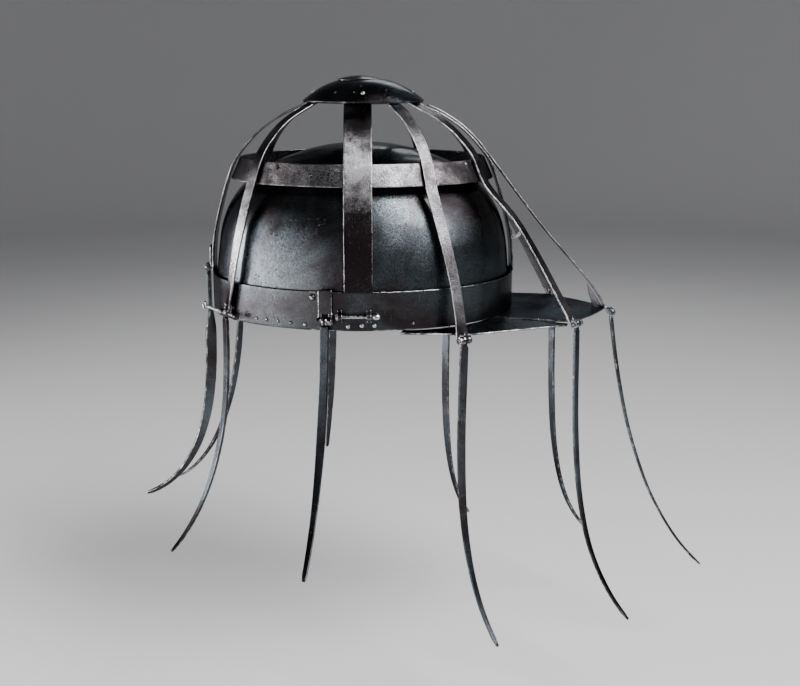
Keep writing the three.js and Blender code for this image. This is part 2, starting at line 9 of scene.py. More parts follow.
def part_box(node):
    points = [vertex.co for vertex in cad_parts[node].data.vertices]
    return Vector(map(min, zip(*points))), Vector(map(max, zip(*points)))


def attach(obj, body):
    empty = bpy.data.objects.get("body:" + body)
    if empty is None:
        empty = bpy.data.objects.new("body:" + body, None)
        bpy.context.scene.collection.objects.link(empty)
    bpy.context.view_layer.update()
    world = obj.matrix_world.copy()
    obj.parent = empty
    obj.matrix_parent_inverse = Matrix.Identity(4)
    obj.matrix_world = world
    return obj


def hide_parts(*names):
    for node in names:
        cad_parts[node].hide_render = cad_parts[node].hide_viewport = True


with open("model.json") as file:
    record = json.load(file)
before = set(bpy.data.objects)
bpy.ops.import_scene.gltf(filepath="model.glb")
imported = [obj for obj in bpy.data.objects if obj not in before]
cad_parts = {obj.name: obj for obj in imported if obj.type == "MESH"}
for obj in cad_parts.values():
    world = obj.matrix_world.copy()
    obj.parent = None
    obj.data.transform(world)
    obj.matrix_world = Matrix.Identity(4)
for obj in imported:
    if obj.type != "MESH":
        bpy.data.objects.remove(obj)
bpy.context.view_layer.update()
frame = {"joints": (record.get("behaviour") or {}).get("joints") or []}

bl_info = {
    "name": "Spider Helmet",
    "version": (1, 0, 0),
    "blender": (4, 5, 0),
    "location": "3D View > Sidebar > Helmet",
    "description": "Makes an iron helmet with a cage of straps, a peak and legs on hinges",
    "category": "Add Mesh",
}

MM = 0.001
UP = Vector((0, 0, 1))
BODY = "helmet"

# Facts that come from the frame: the rim's oval, the upper band and the hinges
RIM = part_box("brow_band")[1]
OVAL = RIM.y / RIM.x
UPPER_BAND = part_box("upper_band")
HINGES = {joint["child"]: joint for joint in frame["joints"]}

# Outer face of the strap frame in the middle plane, and of the skull: distance from the axis
# and height, in millimetres
FRAME_FACE = (
    (118, 28.5), (117.2, 46), (115.3, 60), (109.5, 84), (105.2, 98), (100.4, 111),
    (96.8, 117.5), (79.5, 137), (62.5, 148.8), (48.5, 155.4), (38, 160.6), (30, 164.4),
)
SKULL_FACE = (
    (115.5, 0), (115.1, 16), (114.4, 30), (113.2, 48), (110.4, 64), (105.2, 78), (98.5, 89),
    (91.5, 97), (80, 106.5), (66, 114.3), (52, 120), (36, 124.6), (18, 127.4), (0, 128.4),
)

# Legs: length in millimetres, lean in radians at the top, even bend, curl at the tip, and
# the width of the blade at the top in millimetres
LEGS = {
    "leg_tip": (240, (0.12, 0.3, 0.4), 6.4),
    "leg_front_right": (240, (0.02, 0, 0.85), 6.4),
    "leg_front_left": (240, (0.02, 0, 0.85), 6.4),
    "leg_temple_right": (235, (-0.04, 0.05, 0.83), 7),
    "leg_temple_left": (235, (-0.04, 0.05, 0.83), 7),
    "leg_side_right": (188, (0.06, 0.6, 0.25), 6.8),
    "leg_side_left": (184, (0, 0.53, 0), 6.8),
    "leg_back_right": (193, (-0.04, 0.39, 0.52), 6.8),
    "leg_back_left": (209, (0, 0.57, 0.48), 6.8),
    "leg_rear": (211, (0.01, -0.07, 1.32), 9),
}

# Leg straps: degrees round the oval at the disc and at the upper band, and the places they
# pass through below that, in millimetres on the wearer's right
STRAP_ROUTES = {
    "front": (-28, -27.5, ((115.5, -45.5, 72),)),
    "temple": (-57, -61.5, ((60.2, -83.8, 60), (67.2, -89, 28))),
    "back": (-151, -141.5, ((-91.6, -60, 60), (-97.9, -58.6, 28))),
}
# The strap to the tip: distances from the axis while it lies on the frame, then the places
# that it passes free of it, and the side view of the web at its foot
TIP_STRAP_ON_FRAME = (50, 62, 74, 86, 97)
TIP_STRAP_FREE = ((139.5, 0, 64), (182, 0, 14.6))
TIP_WEB = ((178.5, 15.4), (180.3, 7), (184, -3.6), (192.2, -4.0), (186, 5.2))

# Rivet heads round the rim on the wearer's right: distance forward, height and radius
RIM_RIVETS = (
    (-78.1, 4.8, 1.2), (-70.4, 5.1, 1.2), (-61.7, 4.9, 1.2), (-52.2, 4.4, 1.4), (-41.7, 3.9, 1.6),
    (-36.2, 24.1, 2.5), (36.3, 4.6, 1.6),
)
# The three bare ones below the bolt
BRIGHT_RIVETS = ((-10.5, 3.4, 1.7), (-0.7, 4.1, 1.7), (8.4, 4, 1.7))
# Rivet heads on the upper band: degrees round the oval and height
UPPER_RIVETS = ((-37, 115), (-130, 114), (-112, 109.5), (37, 115), (130, 114), (112, 109.5))
# Small rivet heads on the crown disc: distance from its middle and degrees round it
DISC_RIVETS = (
    (37.5, -100), (29.5, -93), (35.5, -61), (38, -123), (36, -161),
    (37, 80), (36, 119), (37, 20), (36, 160),
)

# Peak outline on the wearer's left, in millimetres
CREASE_BACK = (102.4, 49)
CREASE_FRONT = (155, 52.5)
SHOULDER = (176, 30.5)
TIP_CORNER = (192.6, 2.5)
TIP_MIDDLE = (192.9, 0)
WING_BACK = (24, 97.5)
WING_CORNER = (74.5, 90.9)
WING_FRONT = (154, 56)

# The long pin at the right back, as distance along it, radius and wear in millimetres
RING_ROD = (
    (-31, 0.6, 0.6), (-30.6, 1.1, 1), (-20, 1.2, 0.8), (-12, 1.15, 1), (12, 1.1, 0.3), (15.6, 1, 0),
)
RING_PIN_KNOB = (
    (14.8, 1.15, 0), (15.1, 2.2, 0.5), (16, 2.6, 0.1), (18, 2.5, 0.1), (19.2, 1.9, 0.5),
    (19.5, 0.6, 0.3),
)
# The head of every other pin in the same way, counted from the outer face of its ear
PIN_HEAD = ((0.95, 0.5, 0.3), (0.9, 1.2, 0.4), (0.7, 1.8, 0.9), (0.4, 2.1, 0.7), (0.1, 2.0, 0.3))
# The bolt on the brow band in the same way, counted from its back end
BOLT = (
    (-0.6, 1.0, 0.9), (-0.2, 2.0, 1), (1.2, 2.3, 0.8), (2.8, 2.0, 1), (3.4, 1.15, 0.3),
    (14, 1.1, 1.0), (26, 1.15, 0.3), (26.8, 1.9, 1), (28.4, 2.25, 0.8), (30.6, 1.9, 1), (31.6, 0.8, 1),
)
# The crown's raised middle: share of its radius, rise in millimetres and wear
BUTTON = (
    (1.0, 0.0, 0.0), (1.0, 0.3, 0.2), (0.97, 0.5, 0.3), (0.93, 0.6, 0.1),
    (0.75, 1.0, 0.0), (0.5, 1.4, 0.0), (0.25, 1.7, 0.0), (0.02, 1.8, 0.0),
)
# Side view of the hook on the front strap: reach out from it, and rise
HOOK = (
    (0, -4), (3, -3.6), (5.6, -2.6), (7.4, -0.6), (8, 1.5), (6.4, 1.6), (4, -0.9), (1.4, -1.2), (0, 4),
)

# Unevenness of the hand-made pieces: how far apart its waves are, and their depth
SKULL_DENTS = 38 * MM
SKULL_RIPPLES = 13 * MM
BROW_FACE_WAVES = (30 * MM, 0.12 * MM)
BROW_EDGE_WAVES = (22 * MM, 0.25 * MM)
UPPER_FACE_WAVES = (26 * MM, 0.15 * MM)
UPPER_EDGE_WAVES = (20 * MM, 0.3 * MM)
STRAP_FACE_WAVES = (24 * MM, 0.15 * MM)
STRAP_EDGE_WAVES = (18 * MM, 0.4 * MM)
CROWN_WAVES = (16 * MM, 0.35 * MM)
PLATE_WAVES = (22 * MM, 0.35 * MM)
WING_WAVES = (24 * MM, 0.4 * MM)
LEG_STRAP_FACE_WAVES = (21 * MM, 0.12 * MM)
LEG_STRAP_EDGE_WAVES = (15 * MM, 0.3 * MM)
LEAF_WAVES = (9 * MM, 0.1 * MM)
LEG_FACE_WAVES = (40 * MM, 0.3 * MM)
LEG_EDGE_WAVES = (30 * MM, 0.35 * MM)
RIVET_WAVES = (7 * MM, 0.25)

# Steps between two marks of a curve, round a filed corner and round a turned shape
CURVE_STEPS = 24
CORNER_STEPS = 3
TURNED_STEPS = 24
HOOP_STEPS = 28
# Edges that bend more than this stay crisp
SHARP = math.radians(50)
# Lines along a strap's face, as shares of its half width
FACE_SPREAD = (0.9, 0.5, 0.0, -0.5, -0.9)
# Wear of a strap's inner edges, where its outer ones have 1
INNER_EDGE_WEAR = 0.55
# A strap's filed end, in radii of its edge: how far it reaches, and what it loses in width
END_REACH = 0.9
END_CUT = 1.6


class HelmetSizes(bpy.types.PropertyGroup):
    """Sizes of the sheet, the straps and the hinges"""

    skull_thick: bpy.props.FloatProperty(
        name="Skull thickness", description="Thickness of the skull's sheet",
        default=2 * MM, unit="LENGTH")
    band_thick: bpy.props.FloatProperty(
        name="Band thickness", description="Thickness of the bands",
        default=1.6 * MM, unit="LENGTH")
    strap_thick: bpy.props.FloatProperty(
        name="Strap thickness", description="Thickness of every strap",
        default=1.6 * MM, unit="LENGTH")
    wide_strap: bpy.props.FloatProperty(
        name="Wide strap", description="Width of the four wide straps",
        default=20.5 * MM, unit="LENGTH")
    leg_strap: bpy.props.FloatProperty(
        name="Leg strap", description="Width of the straps that carry legs",
        default=9 * MM, unit="LENGTH")
    peak_thick: bpy.props.FloatProperty(
        name="Peak thickness", description="Thickness of the peak's plates",
        default=1.5 * MM, unit="LENGTH")
    edge: bpy.props.FloatProperty(
        name="Edge", description="Roundness of the filed edges",
        default=0.35 * MM, unit="LENGTH")
    dent: bpy.props.FloatProperty(
        name="Dent", description="Depth of the hammered dents in the skull",
        default=0.9 * MM, unit="LENGTH")
    barrel: bpy.props.FloatProperty(
        name="Barrel", description="Outer radius of the hinge barrels",
        default=3 * MM, unit="LENGTH")
    pin: bpy.props.FloatProperty(
        name="Pin", description="Radius of the hinge pins",
        default=1.1 * MM, unit="LENGTH")


class HelmetFinish(bpy.types.PropertyGroup):
    """Colours of the metal"""

    black: bpy.props.FloatVectorProperty(
        name="Black", description="Blackened iron in the darkest places",
        subtype="COLOR", size=3, default=(0.022, 0.017, 0.019), min=0, max=1)
    blue: bpy.props.FloatVectorProperty(
        name="Blue grey", description="Blackened iron where it is rubbed",
        subtype="COLOR", size=3, default=(0.075, 0.092, 0.102), min=0, max=1)
    grey: bpy.props.FloatVectorProperty(
        name="Grey", description="Straps where hands and cloth have rubbed them",
        subtype="COLOR", size=3, default=(0.3, 0.295, 0.31), min=0, max=1)
    brown: bpy.props.FloatVectorProperty(
        name="Brown", description="Old oil and rust in the black",
        subtype="COLOR", size=3, default=(0.05, 0.031, 0.029), min=0, max=1)
    worn: bpy.props.FloatVectorProperty(
        name="Worn", description="Bare steel on the edges",
        subtype="COLOR", size=3, default=(0.42, 0.41, 0.42), min=0, max=1)
    floor: bpy.props.FloatVectorProperty(
        name="Floor", description="Colour of the plain floor",
        subtype="COLOR", size=3, default=(0.62, 0.62, 0.63), min=0, max=1)


def mm(x, y, z):
    """A place given in millimetres."""
    return Vector((x, y, z)) * MM


def smoothstep(value, low, high):
    """Runs smoothly from 0 at low to 1 at high."""
    t = min(max((value - low) / (high - low), 0), 1)
    return t * t * (3 - 2 * t)


def waver(place, size, amount):
    """Uneven offset of a hand-made surface: how far apart its waves are, and their depth."""
    return noise.noise(place / size) * amount


def through(points, count):
    """Evenly spaced places on a smooth line through the points."""
    marks = [Vector(point) for point in points]
    marks.insert(0, marks[0] * 2 - marks[1])
    marks.append(marks[-1] * 2 - marks[-2])
    fine = []
    for p0, p1, p2, p3 in zip(marks, marks[1:], marks[2:], marks[3:]):
        t1 = math.sqrt((p1 - p0).length)
        t2 = t1 + math.sqrt((p2 - p1).length)
        t3 = t2 + math.sqrt((p3 - p2).length)
        for step in range(CURVE_STEPS):
            t = t1 + (t2 - t1) * step / CURVE_STEPS
            a1 = p0.lerp(p1, t / t1)
            a2 = p1.lerp(p2, (t - t1) / (t2 - t1))
            a3 = p2.lerp(p3, (t - t2) / (t3 - t2))
            b1 = a1.lerp(a2, t / t2)
            b2 = a2.lerp(a3, (t - t1) / (t3 - t1))
            fine.append(b1.lerp(b2, (t - t1) / (t2 - t1)))
    fine.append(marks[-2])
    return evenly(fine, count)


def evenly(line, count):
    """The same line as count + 1 places at even distances."""
    reach = [0.0]
    for a, b in zip(line, line[1:]):
        reach.append(reach[-1] + (b - a).length)
    places = []
    i = 0
    for step in range(count + 1):
        want = reach[-1] * step / count
        while i < len(line) - 2 and reach[i + 1] < want:
            i += 1
        span = reach[i + 1] - reach[i]
        places.append(line[i].lerp(line[i + 1], (want - reach[i]) / span if span else 0))
    return places


FRAME_STEPS = 160
FRAME_LINE = through([(radius * MM, height * MM) for radius, height in FRAME_FACE], FRAME_STEPS)


def frame_height(radius):
    """Height of the strap frame's outer face at a distance from the axis."""
    for a, b in zip(FRAME_LINE, FRAME_LINE[1:]):
        if b.x <= radius <= a.x:
            return a.y + (b.y - a.y) * (a.x - radius) / (a.x - b.x)
    return FRAME_LINE[0].y


def frame_radius(height):
    """Distance of the strap frame's outer face from the axis at a height."""
    for a, b in zip(FRAME_LINE, FRAME_LINE[1:]):
        if a.y <= height <= b.y:
            return a.x + (b.x - a.x) * (height - a.y) / (b.y - a.y)
    return FRAME_LINE[0].x


def on_oval(angle, radius, height):
    """Place on the helmet's oval, squeezed sideways as the rim is."""
    return Vector((radius * math.cos(angle), radius * OVAL * math.sin(angle), height))


def oval_out(angle):
    """Level direction straight out of the oval."""
    return Vector((OVAL * math.cos(angle), math.sin(angle), 0)).normalized()


class Piece:
    """Points, faces and wear of one piece while it is made."""

    def __init__(self):
        self.points = []
        self.faces = []
        self.wear = []

    def add(self, points):
        """Adds pairs of a place and its wear, and gives the first one's number."""
        start = len(self.points)
        self.points.extend(place for place, _ in points)
        self.wear.extend(wear for _, wear in points)
        return start

    def skin(self, rings, closed=False):
        """Skin over rings of pairs of a place and its wear, with its two ends closed."""
        count = len(rings[0])
        starts = [self.add(ring) for ring in rings]
        follow = starts[1:] + starts[:1] if closed else starts[1:]
        for near, far in zip(starts, follow):
            for j in range(count):
                k = (j + 1) % count
                self.faces.append((near + j, near + k, far + k, far + j))
        if not closed:
            for start in (starts[0], starts[-1]):
                self.faces.append(tuple(range(start, start + count)))

    def finish(self, name, material, slot, body=BODY, replaces=()):
        """Makes the mesh object, sets its finish and hands it to the frame."""
        mesh = bpy.data.meshes.new(name)
        mesh.from_pydata(self.points, [], self.faces)
        mesh.attributes.new("wear", "FLOAT", "POINT").data.foreach_set("value", self.wear)
        shape = bmesh.new()
        shape.from_mesh(mesh)
        bmesh.ops.recalc_face_normals(shape, faces=shape.faces)
        for face in shape.faces:
            face.smooth = True
        for edge in shape.edges:
            edge.smooth = edge.calc_face_angle(0) < SHARP
        shape.to_mesh(mesh)
        shape.free()
        mesh.materials.append(material)
        piece = bpy.data.objects.new(name, mesh)
        bpy.context.scene.collection.objects.link(piece)
        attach(piece, body)
        if replaces:
            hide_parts(*replaces)


def strap_section(width, thick, edge):
    """Points round a strap's section with filed corners: across, out and wear."""
    half = width / 2 - edge
    deep = thick / 2 - edge
    corners = ((1, 1, 0), (-1, 1, 90), (-1, -1, 180), (1, -1, 270))
    ring = []
    for side, face, start in corners:
        wear = 1.0 if face > 0 else INNER_EDGE_WEAR
        for step in range(CORNER_STEPS + 1):
            angle = math.radians(start + 90 * step / CORNER_STEPS)
            across = side * half + edge * math.cos(angle)
            out = face * deep + edge * math.sin(angle)
            ring.append((across, out, wear))
        if side == face:
            ring.extend((side * half * share, face * thick / 2, 0.0) for share in FACE_SPREAD)
    return ring


def sweep(piece, stations, edge, closed=False):
    """Carries a strap's section along stations: place, across, out, width, thickness, wear."""
    rings = []
    for place, across, out, width, thick, wear in stations:
        section = strap_section(width, thick, edge)
        rings.append([(place + across * u + out * v, w * wear) for u, v, w in section])
    piece.skin(rings, closed)


def filed_ends(stations, edge):
    """Stations with one more at each end, where the strap is filed round."""
    ends = []
    for end, inner in ((stations[0], stations[1]), (stations[-1], stations[-2])):
        place, across, out, width, thick, wear = end
        beyond = (place - inner[0]).normalized() * edge * END_REACH
        cut = END_CUT * edge
        ends.append((place + beyond, across, out, width - cut, thick - cut, wear))
    return [ends[0], *stations, ends[1]]


def scaled(profile):
    """A turned shape's profile in metres, from one in millimetres."""
    return [(along * MM, radius * MM, wear) for along, radius, wear in profile]


def spin(piece, centre, axis, profile, steps=TURNED_STEPS):
    """Turned shape on an axis: profile is distance along it, radius and wear, end to end."""
    side = axis.orthogonal().normalized()
    rings = []
    for along, radius, wear in profile:
        ring = []
        for step in range(steps):
            turn = Quaternion(axis, math.tau * step / steps)
            ring.append((centre + axis * along + (turn @ side) * radius, wear))
        rings.append(ring)
    piece.skin(rings)


def hoop(piece, centre, axis, profile):
    """Turned shape with a hole: profile goes round its wall and closes on itself."""
    side = axis.orthogonal().normalized()
    rings = []
    for step in range(HOOP_STEPS):
        turned = Quaternion(axis, math.tau * step / HOOP_STEPS) @ side
        rings.append([(centre + axis * along + turned * radius, wear)
                      for along, radius, wear in profile])
    piece.skin(rings, closed=True)


# Rivet heads: how deep they are sunk, steps up the dome and round it, how wide its flat top
# is, and the wear from the foot upwards
RIVET_SUNK = 0.4 * MM
RIVET_LINES = 5
RIVET_STEPS = 18
RIVET_TOP = 0.12
RIVET_FOOT_WEAR = 0.3
RIVET_WEAR_RISE = 0.14


def dome(piece, place, out, radius, rise):
    """Hammered rivet head on a surface, brightest on its top."""
    height = rise * (1 + waver(place, *RIVET_WAVES))
    profile = [(-RIVET_SUNK, radius, RIVET_FOOT_WEAR)]
    for step in range(RIVET_LINES):
        angle = math.radians(90 * step / RIVET_LINES)
        wear = RIVET_FOOT_WEAR + RIVET_WEAR_RISE * step
        profile.append((height * math.sin(angle), radius * math.cos(angle), wear))
    profile.append((height, radius * RIVET_TOP, 1.0))
    spin(piece, place, out, profile, RIVET_STEPS)


def slab(piece, outline, width, edge):
    """Upright plate in the middle plane, in millimetres: its side view pushed out to both
    sides, with chamfered rims."""
    middle = sum((Vector((x, 0, z)) for x, z in outline), Vector()) / len(outline)
    rings = []
    for offset, share in ((-1, 0.0), (-1, 1.0), (1, 1.0), (1, 0.0)):
        ring = []
        for x, z in outline:
            corner = Vector((x, 0, z))
            inward = (middle - corner).normalized() * edge * (1 - share)
            depth = offset * (width / 2 - edge * share)
            ring.append(((corner + inward + Vector((0, depth, 0))) * MM, 1.0))
        rings.append(ring)
    piece.skin(rings)


# A plate's rim: its wear above, below and in the middle, the wear where it lies hidden at
# the brow band, and how far it bulges as a share of the plate's thickness
SHEET_WEAR_ABOVE = 0.8
SHEET_WEAR_BELOW = 0.48
SHEET_WEAR_MIDDLE = 1.0
SHEET_WEAR_HIDDEN = 0.2
SHEET_BULGE = 0.25


def sheet(piece, grid, thick):
    """Plate from a grid of places on its upper face, with a rounded rim. Its first column lies
    at the brow band and stays dark."""
    rows = len(grid)
    columns = len(grid[0])
    rim = [(0, j) for j in range(columns)]
    rim += [(i, columns - 1) for i in range(1, rows)]
    rim += [(rows - 1, j) for j in range(columns - 2, -1, -1)]
    rim += [(i, 0) for i in range(rows - 2, 0, -1)]
    on_rim = set(rim)
    top = {}
    below = {}
    for i in range(rows):
        for j in range(columns):
            shows = (i, j) in on_rim and j > 0
            top[i, j] = piece.add([(grid[i][j], SHEET_WEAR_ABOVE if shows else 0.0)])
            low = grid[i][j] - UP * thick
            below[i, j] = piece.add([(low, SHEET_WEAR_BELOW if shows else 0.0)])
    for i in range(rows - 1):
        for j in range(columns - 1):
            corners = ((i, j), (i, j + 1), (i + 1, j + 1), (i + 1, j))
            piece.faces.append(tuple(top[corner] for corner in corners))
            piece.faces.append(tuple(below[corner] for corner in reversed(corners)))
    bulge = {}
    for i, j in rim:
        inner = grid[min(max(i, 1), rows - 2)][min(max(j, 1), columns - 2)]
        out = (grid[i][j] - inner).normalized() * thick * SHEET_BULGE
        wear = SHEET_WEAR_MIDDLE if j > 0 else SHEET_WEAR_HIDDEN
        bulge[i, j] = piece.add([(grid[i][j] + out - UP * thick / 2, wear)])
    for a, b in zip(rim, rim[1:] + rim[:1]):
        piece.faces.append((top[a], top[b], bulge[b], bulge[a]))
        piece.faces.append((bulge[a], bulge[b], below[b], below[a]))


# Sockets of the mix node that hold the share and the colours
MIX_SHARE = 0
MIX_FIRST = 6
MIX_SECOND = 7
MIX_RESULT = 2


class Recipe:
    """Nodes of one material while they are wired."""

    def __init__(self, name):
        self.material = bpy.data.materials.new(name)
        self.material.use_nodes = True
        self.tree = self.material.node_tree
        self.shader = self.tree.nodes["Principled BSDF"]
        self.place = self.tree.nodes.new("ShaderNodeTexCoord").outputs["Object"]

    def feed(self, socket, value):
        """Links a socket to another node's output, or sets its value."""
        if isinstance(value, bpy.types.NodeSocket):
            self.tree.links.new(value, socket)
        else:
            socket.default_value = value

    def clouds(self, scale, detail=3.0, rough=0.5, bend=0.0, stretch=None):
        """Soft uneven pattern, from 0 to 1. scale is about how many blotches a metre holds,
        and stretch draws them out along the axes."""
        place = self.place
        if stretch:
            mapping = self.tree.nodes.new("ShaderNodeMapping")
            self.feed(mapping.inputs["Vector"], place)
            mapping.inputs["Scale"].default_value = stretch
            place = mapping.outputs["Vector"]
        pattern = self.tree.nodes.new("ShaderNodeTexNoise")
        self.feed(pattern.inputs["Vector"], place)
        pattern.inputs["Scale"].default_value = scale
        pattern.inputs["Detail"].default_value = detail
        pattern.inputs["Roughness"].default_value = rough
        pattern.inputs["Distortion"].default_value = bend
        return pattern.outputs["Fac"]

    def cells(self, scale):
        """Distance to scattered points, for pits."""
        pattern = self.tree.nodes.new("ShaderNodeTexVoronoi")
        self.feed(pattern.inputs["Vector"], self.place)
        pattern.inputs["Scale"].default_value = scale
        return pattern.outputs["Distance"]

    def height(self):
        """Height above the brow band's lower edge."""
        parts = self.tree.nodes.new("ShaderNodeSeparateXYZ")
        self.feed(parts.inputs["Vector"], self.place)
        return parts.outputs["Z"]

    def between(self, value, low, high, to_low=0.0, to_high=1.0):
        """Smooth rise from to_low at low to to_high at high."""
        rise = self.tree.nodes.new("ShaderNodeMapRange")
        rise.interpolation_type = "SMOOTHSTEP"
        self.feed(rise.inputs["Value"], value)
        rise.inputs["From Min"].default_value = low
        rise.inputs["From Max"].default_value = high
        rise.inputs["To Min"].default_value = to_low
        rise.inputs["To Max"].default_value = to_high
        return rise.outputs["Result"]

    def math(self, operation, a, b):
        """Arithmetic on two values."""
        sum_of_two = self.tree.nodes.new("ShaderNodeMath")
        sum_of_two.operation = operation
        self.feed(sum_of_two.inputs[0], a)
        self.feed(sum_of_two.inputs[1], b)
        return sum_of_two.outputs[0]

    def mix(self, share, a, b):
        """Colour between a and b."""
        blend = self.tree.nodes.new("ShaderNodeMix")
        blend.data_type = "RGBA"
        self.feed(blend.inputs[MIX_SHARE], share)
        self.feed(blend.inputs[MIX_FIRST], a)
        self.feed(blend.inputs[MIX_SECOND], b)
        return blend.outputs[MIX_RESULT]

    def wear(self):
        """The piece's own wear, 1 on its edges."""
        attribute = self.tree.nodes.new("ShaderNodeAttribute")
        attribute.attribute_name = "wear"
        return attribute.outputs["Fac"]

    def bump(self, height, strength, depth, under=None):
        """Relief from a height pattern, on top of another one."""
        relief = self.tree.nodes.new("ShaderNodeBump")
        self.feed(relief.inputs["Height"], height)
        relief.inputs["Strength"].default_value = strength
        relief.inputs["Distance"].default_value = depth
        if under is not None:
            self.feed(relief.inputs["Normal"], under)
        return relief.outputs["Normal"]


def rgba(colour, gain=1.0):
    """A colour property as four numbers, made lighter or darker."""
    return (*(channel * gain for channel in colour), 1.0)


# How strongly the marks on the iron show: brown clouds, rust in the pits, black and bare
# specks, and scratches
BROWN_SHARE = 0.7
RUST_SHARE = 0.8
BLACK_SPECKS = 0.85
BARE_SPECKS = 0.55
SCRATCH_SHARE = 0.22
# How far the border of the painted shade, between black and a colour, strays up and down
PAINTED_SHADE_STRAY = 12 * MM
# How much duller the iron is where its clouds are dull, and in a pit
CLOUD_DULLS = 0.13
PIT_DULLS = 0.25
# Strength of its fine relief, and the depths of that, of the hammering and of the pits
GRAIN_STRENGTH = 0.55
GRAIN_DEPTH = 0.75 * MM
HAMMER_DEPTH = 0.3 * MM
PIT_DEPTH = 0.3 * MM
# How much of the steel is bare on its edges, and the depth of its fine relief
STEEL_BARE = 0.7
STEEL_DEPTH = 0.2 * MM


def clouded(recipe, finish, rubbed, tone, tarnish):
    """Clouds of the rubbed colour on black, and brown ones over them."""
    colour = recipe.mix(tarnish, rgba(finish.black, tone), rgba(rubbed, tone))
    brown = recipe.clouds(scale=31, detail=4, rough=0.65)
    brown = recipe.between(brown, low=0.54, high=0.74)
    brown = recipe.math("MULTIPLY", brown, BROWN_SHARE)
    return recipe.mix(brown, colour, rgba(finish.brown, math.sqrt(tone)))


def painted_shade_below(recipe, finish, colour, painted_shade_heights):
    """Painted shade: black below the first of the given heights and the colour above the second,
    with a ragged border, in place of the dark reflection low on a wide strap."""
    blotches = recipe.clouds(scale=60, detail=5, rough=0.7)
    ragged = recipe.between(blotches, low=0.2, high=0.8, to_low=-PAINTED_SHADE_STRAY, to_high=PAINTED_SHADE_STRAY)
    rise = recipe.between(recipe.math("ADD", recipe.height(), ragged), *painted_shade_heights)
    return recipe.mix(rise, rgba(finish.black), colour)


def speckled(recipe, finish, colour, speckle, tarnish, grain):
    """Fine black specks all over, and bare ones where the metal is rubbed."""
    dark = recipe.between(speckle, low=0.5, high=0.36)
    dark = recipe.math("MULTIPLY", dark, BLACK_SPECKS * grain)
    colour = recipe.mix(dark, colour, rgba(finish.black, gain=0.6))
    bright = recipe.between(speckle, low=0.56, high=0.74)
    bright = recipe.math("MULTIPLY", bright, tarnish)
    bright = recipe.math("MULTIPLY", bright, BARE_SPECKS * grain)
    return recipe.mix(bright, colour, rgba(finish.worn, gain=0.6))


def pitted(recipe):
    """Pattern of small pits in some places, 1 in the middle of each."""
    area = recipe.between(recipe.clouds(scale=43, detail=3), low=0.5, high=0.62)
    pit = recipe.between(recipe.cells(scale=330), low=0.28, high=0.1)
    return recipe.math("MULTIPLY", pit, area)


def rusted(recipe, finish, colour, pit):
    """Brown rust in the pits."""
    rust = recipe.math("MULTIPLY", pit, RUST_SHARE)
    return recipe.mix(rust, colour, rgba(finish.brown, gain=0.5))


def scratched(recipe, finish, colour):
    """Faint scratches, level and upright, in some places."""
    level = recipe.clouds(scale=1, detail=2, rough=0.4, bend=0.1, stretch=(24, 24, 1500))
    upright = recipe.clouds(scale=1, detail=2, rough=0.4, bend=0.1, stretch=(1100, 1100, 110))
    level = recipe.between(level, low=0.68, high=0.74)
    upright = recipe.between(upright, low=0.69, high=0.75)
    scratch = recipe.math("MAXIMUM", level, upright)
    area = recipe.between(recipe.clouds(scale=21, detail=2), low=0.5, high=0.6)
    scratch = recipe.math("MULTIPLY", scratch, area)
    scratch = recipe.math("MULTIPLY", scratch, SCRATCH_SHARE)
    return recipe.mix(scratch, colour, rgba(finish.worn, gain=0.7))


def bared(recipe, finish, colour, worn):
    """Bare steel along the worn edges, with a ragged border."""
    ragged = recipe.clouds(scale=190, detail=4, rough=0.7)
    ragged = recipe.between(ragged, low=0.2, high=0.8, to_low=-0.5, to_high=0.25)
    rub = recipe.math("ADD", recipe.wear(), ragged)
    bare = recipe.between(rub, low=0.55, high=1.0)
    return recipe.mix(recipe.math("MULTIPLY", bare, worn), colour, rgba(finish.worn))


def iron_relief(recipe, speckle, pit, grain):
    """Fine grain, hammering and pits, one on top of the other."""
    relief = recipe.bump(speckle, strength=GRAIN_STRENGTH * grain, depth=GRAIN_DEPTH)
    hammering = recipe.clouds(scale=240, detail=3, rough=0.6)
    relief = recipe.bump(hammering, strength=0.35, depth=HAMMER_DEPTH, under=relief)
    around_pit = recipe.math("SUBTRACT", 1.0, pit)
    return recipe.bump(around_pit, strength=0.5, depth=PIT_DEPTH, under=relief)


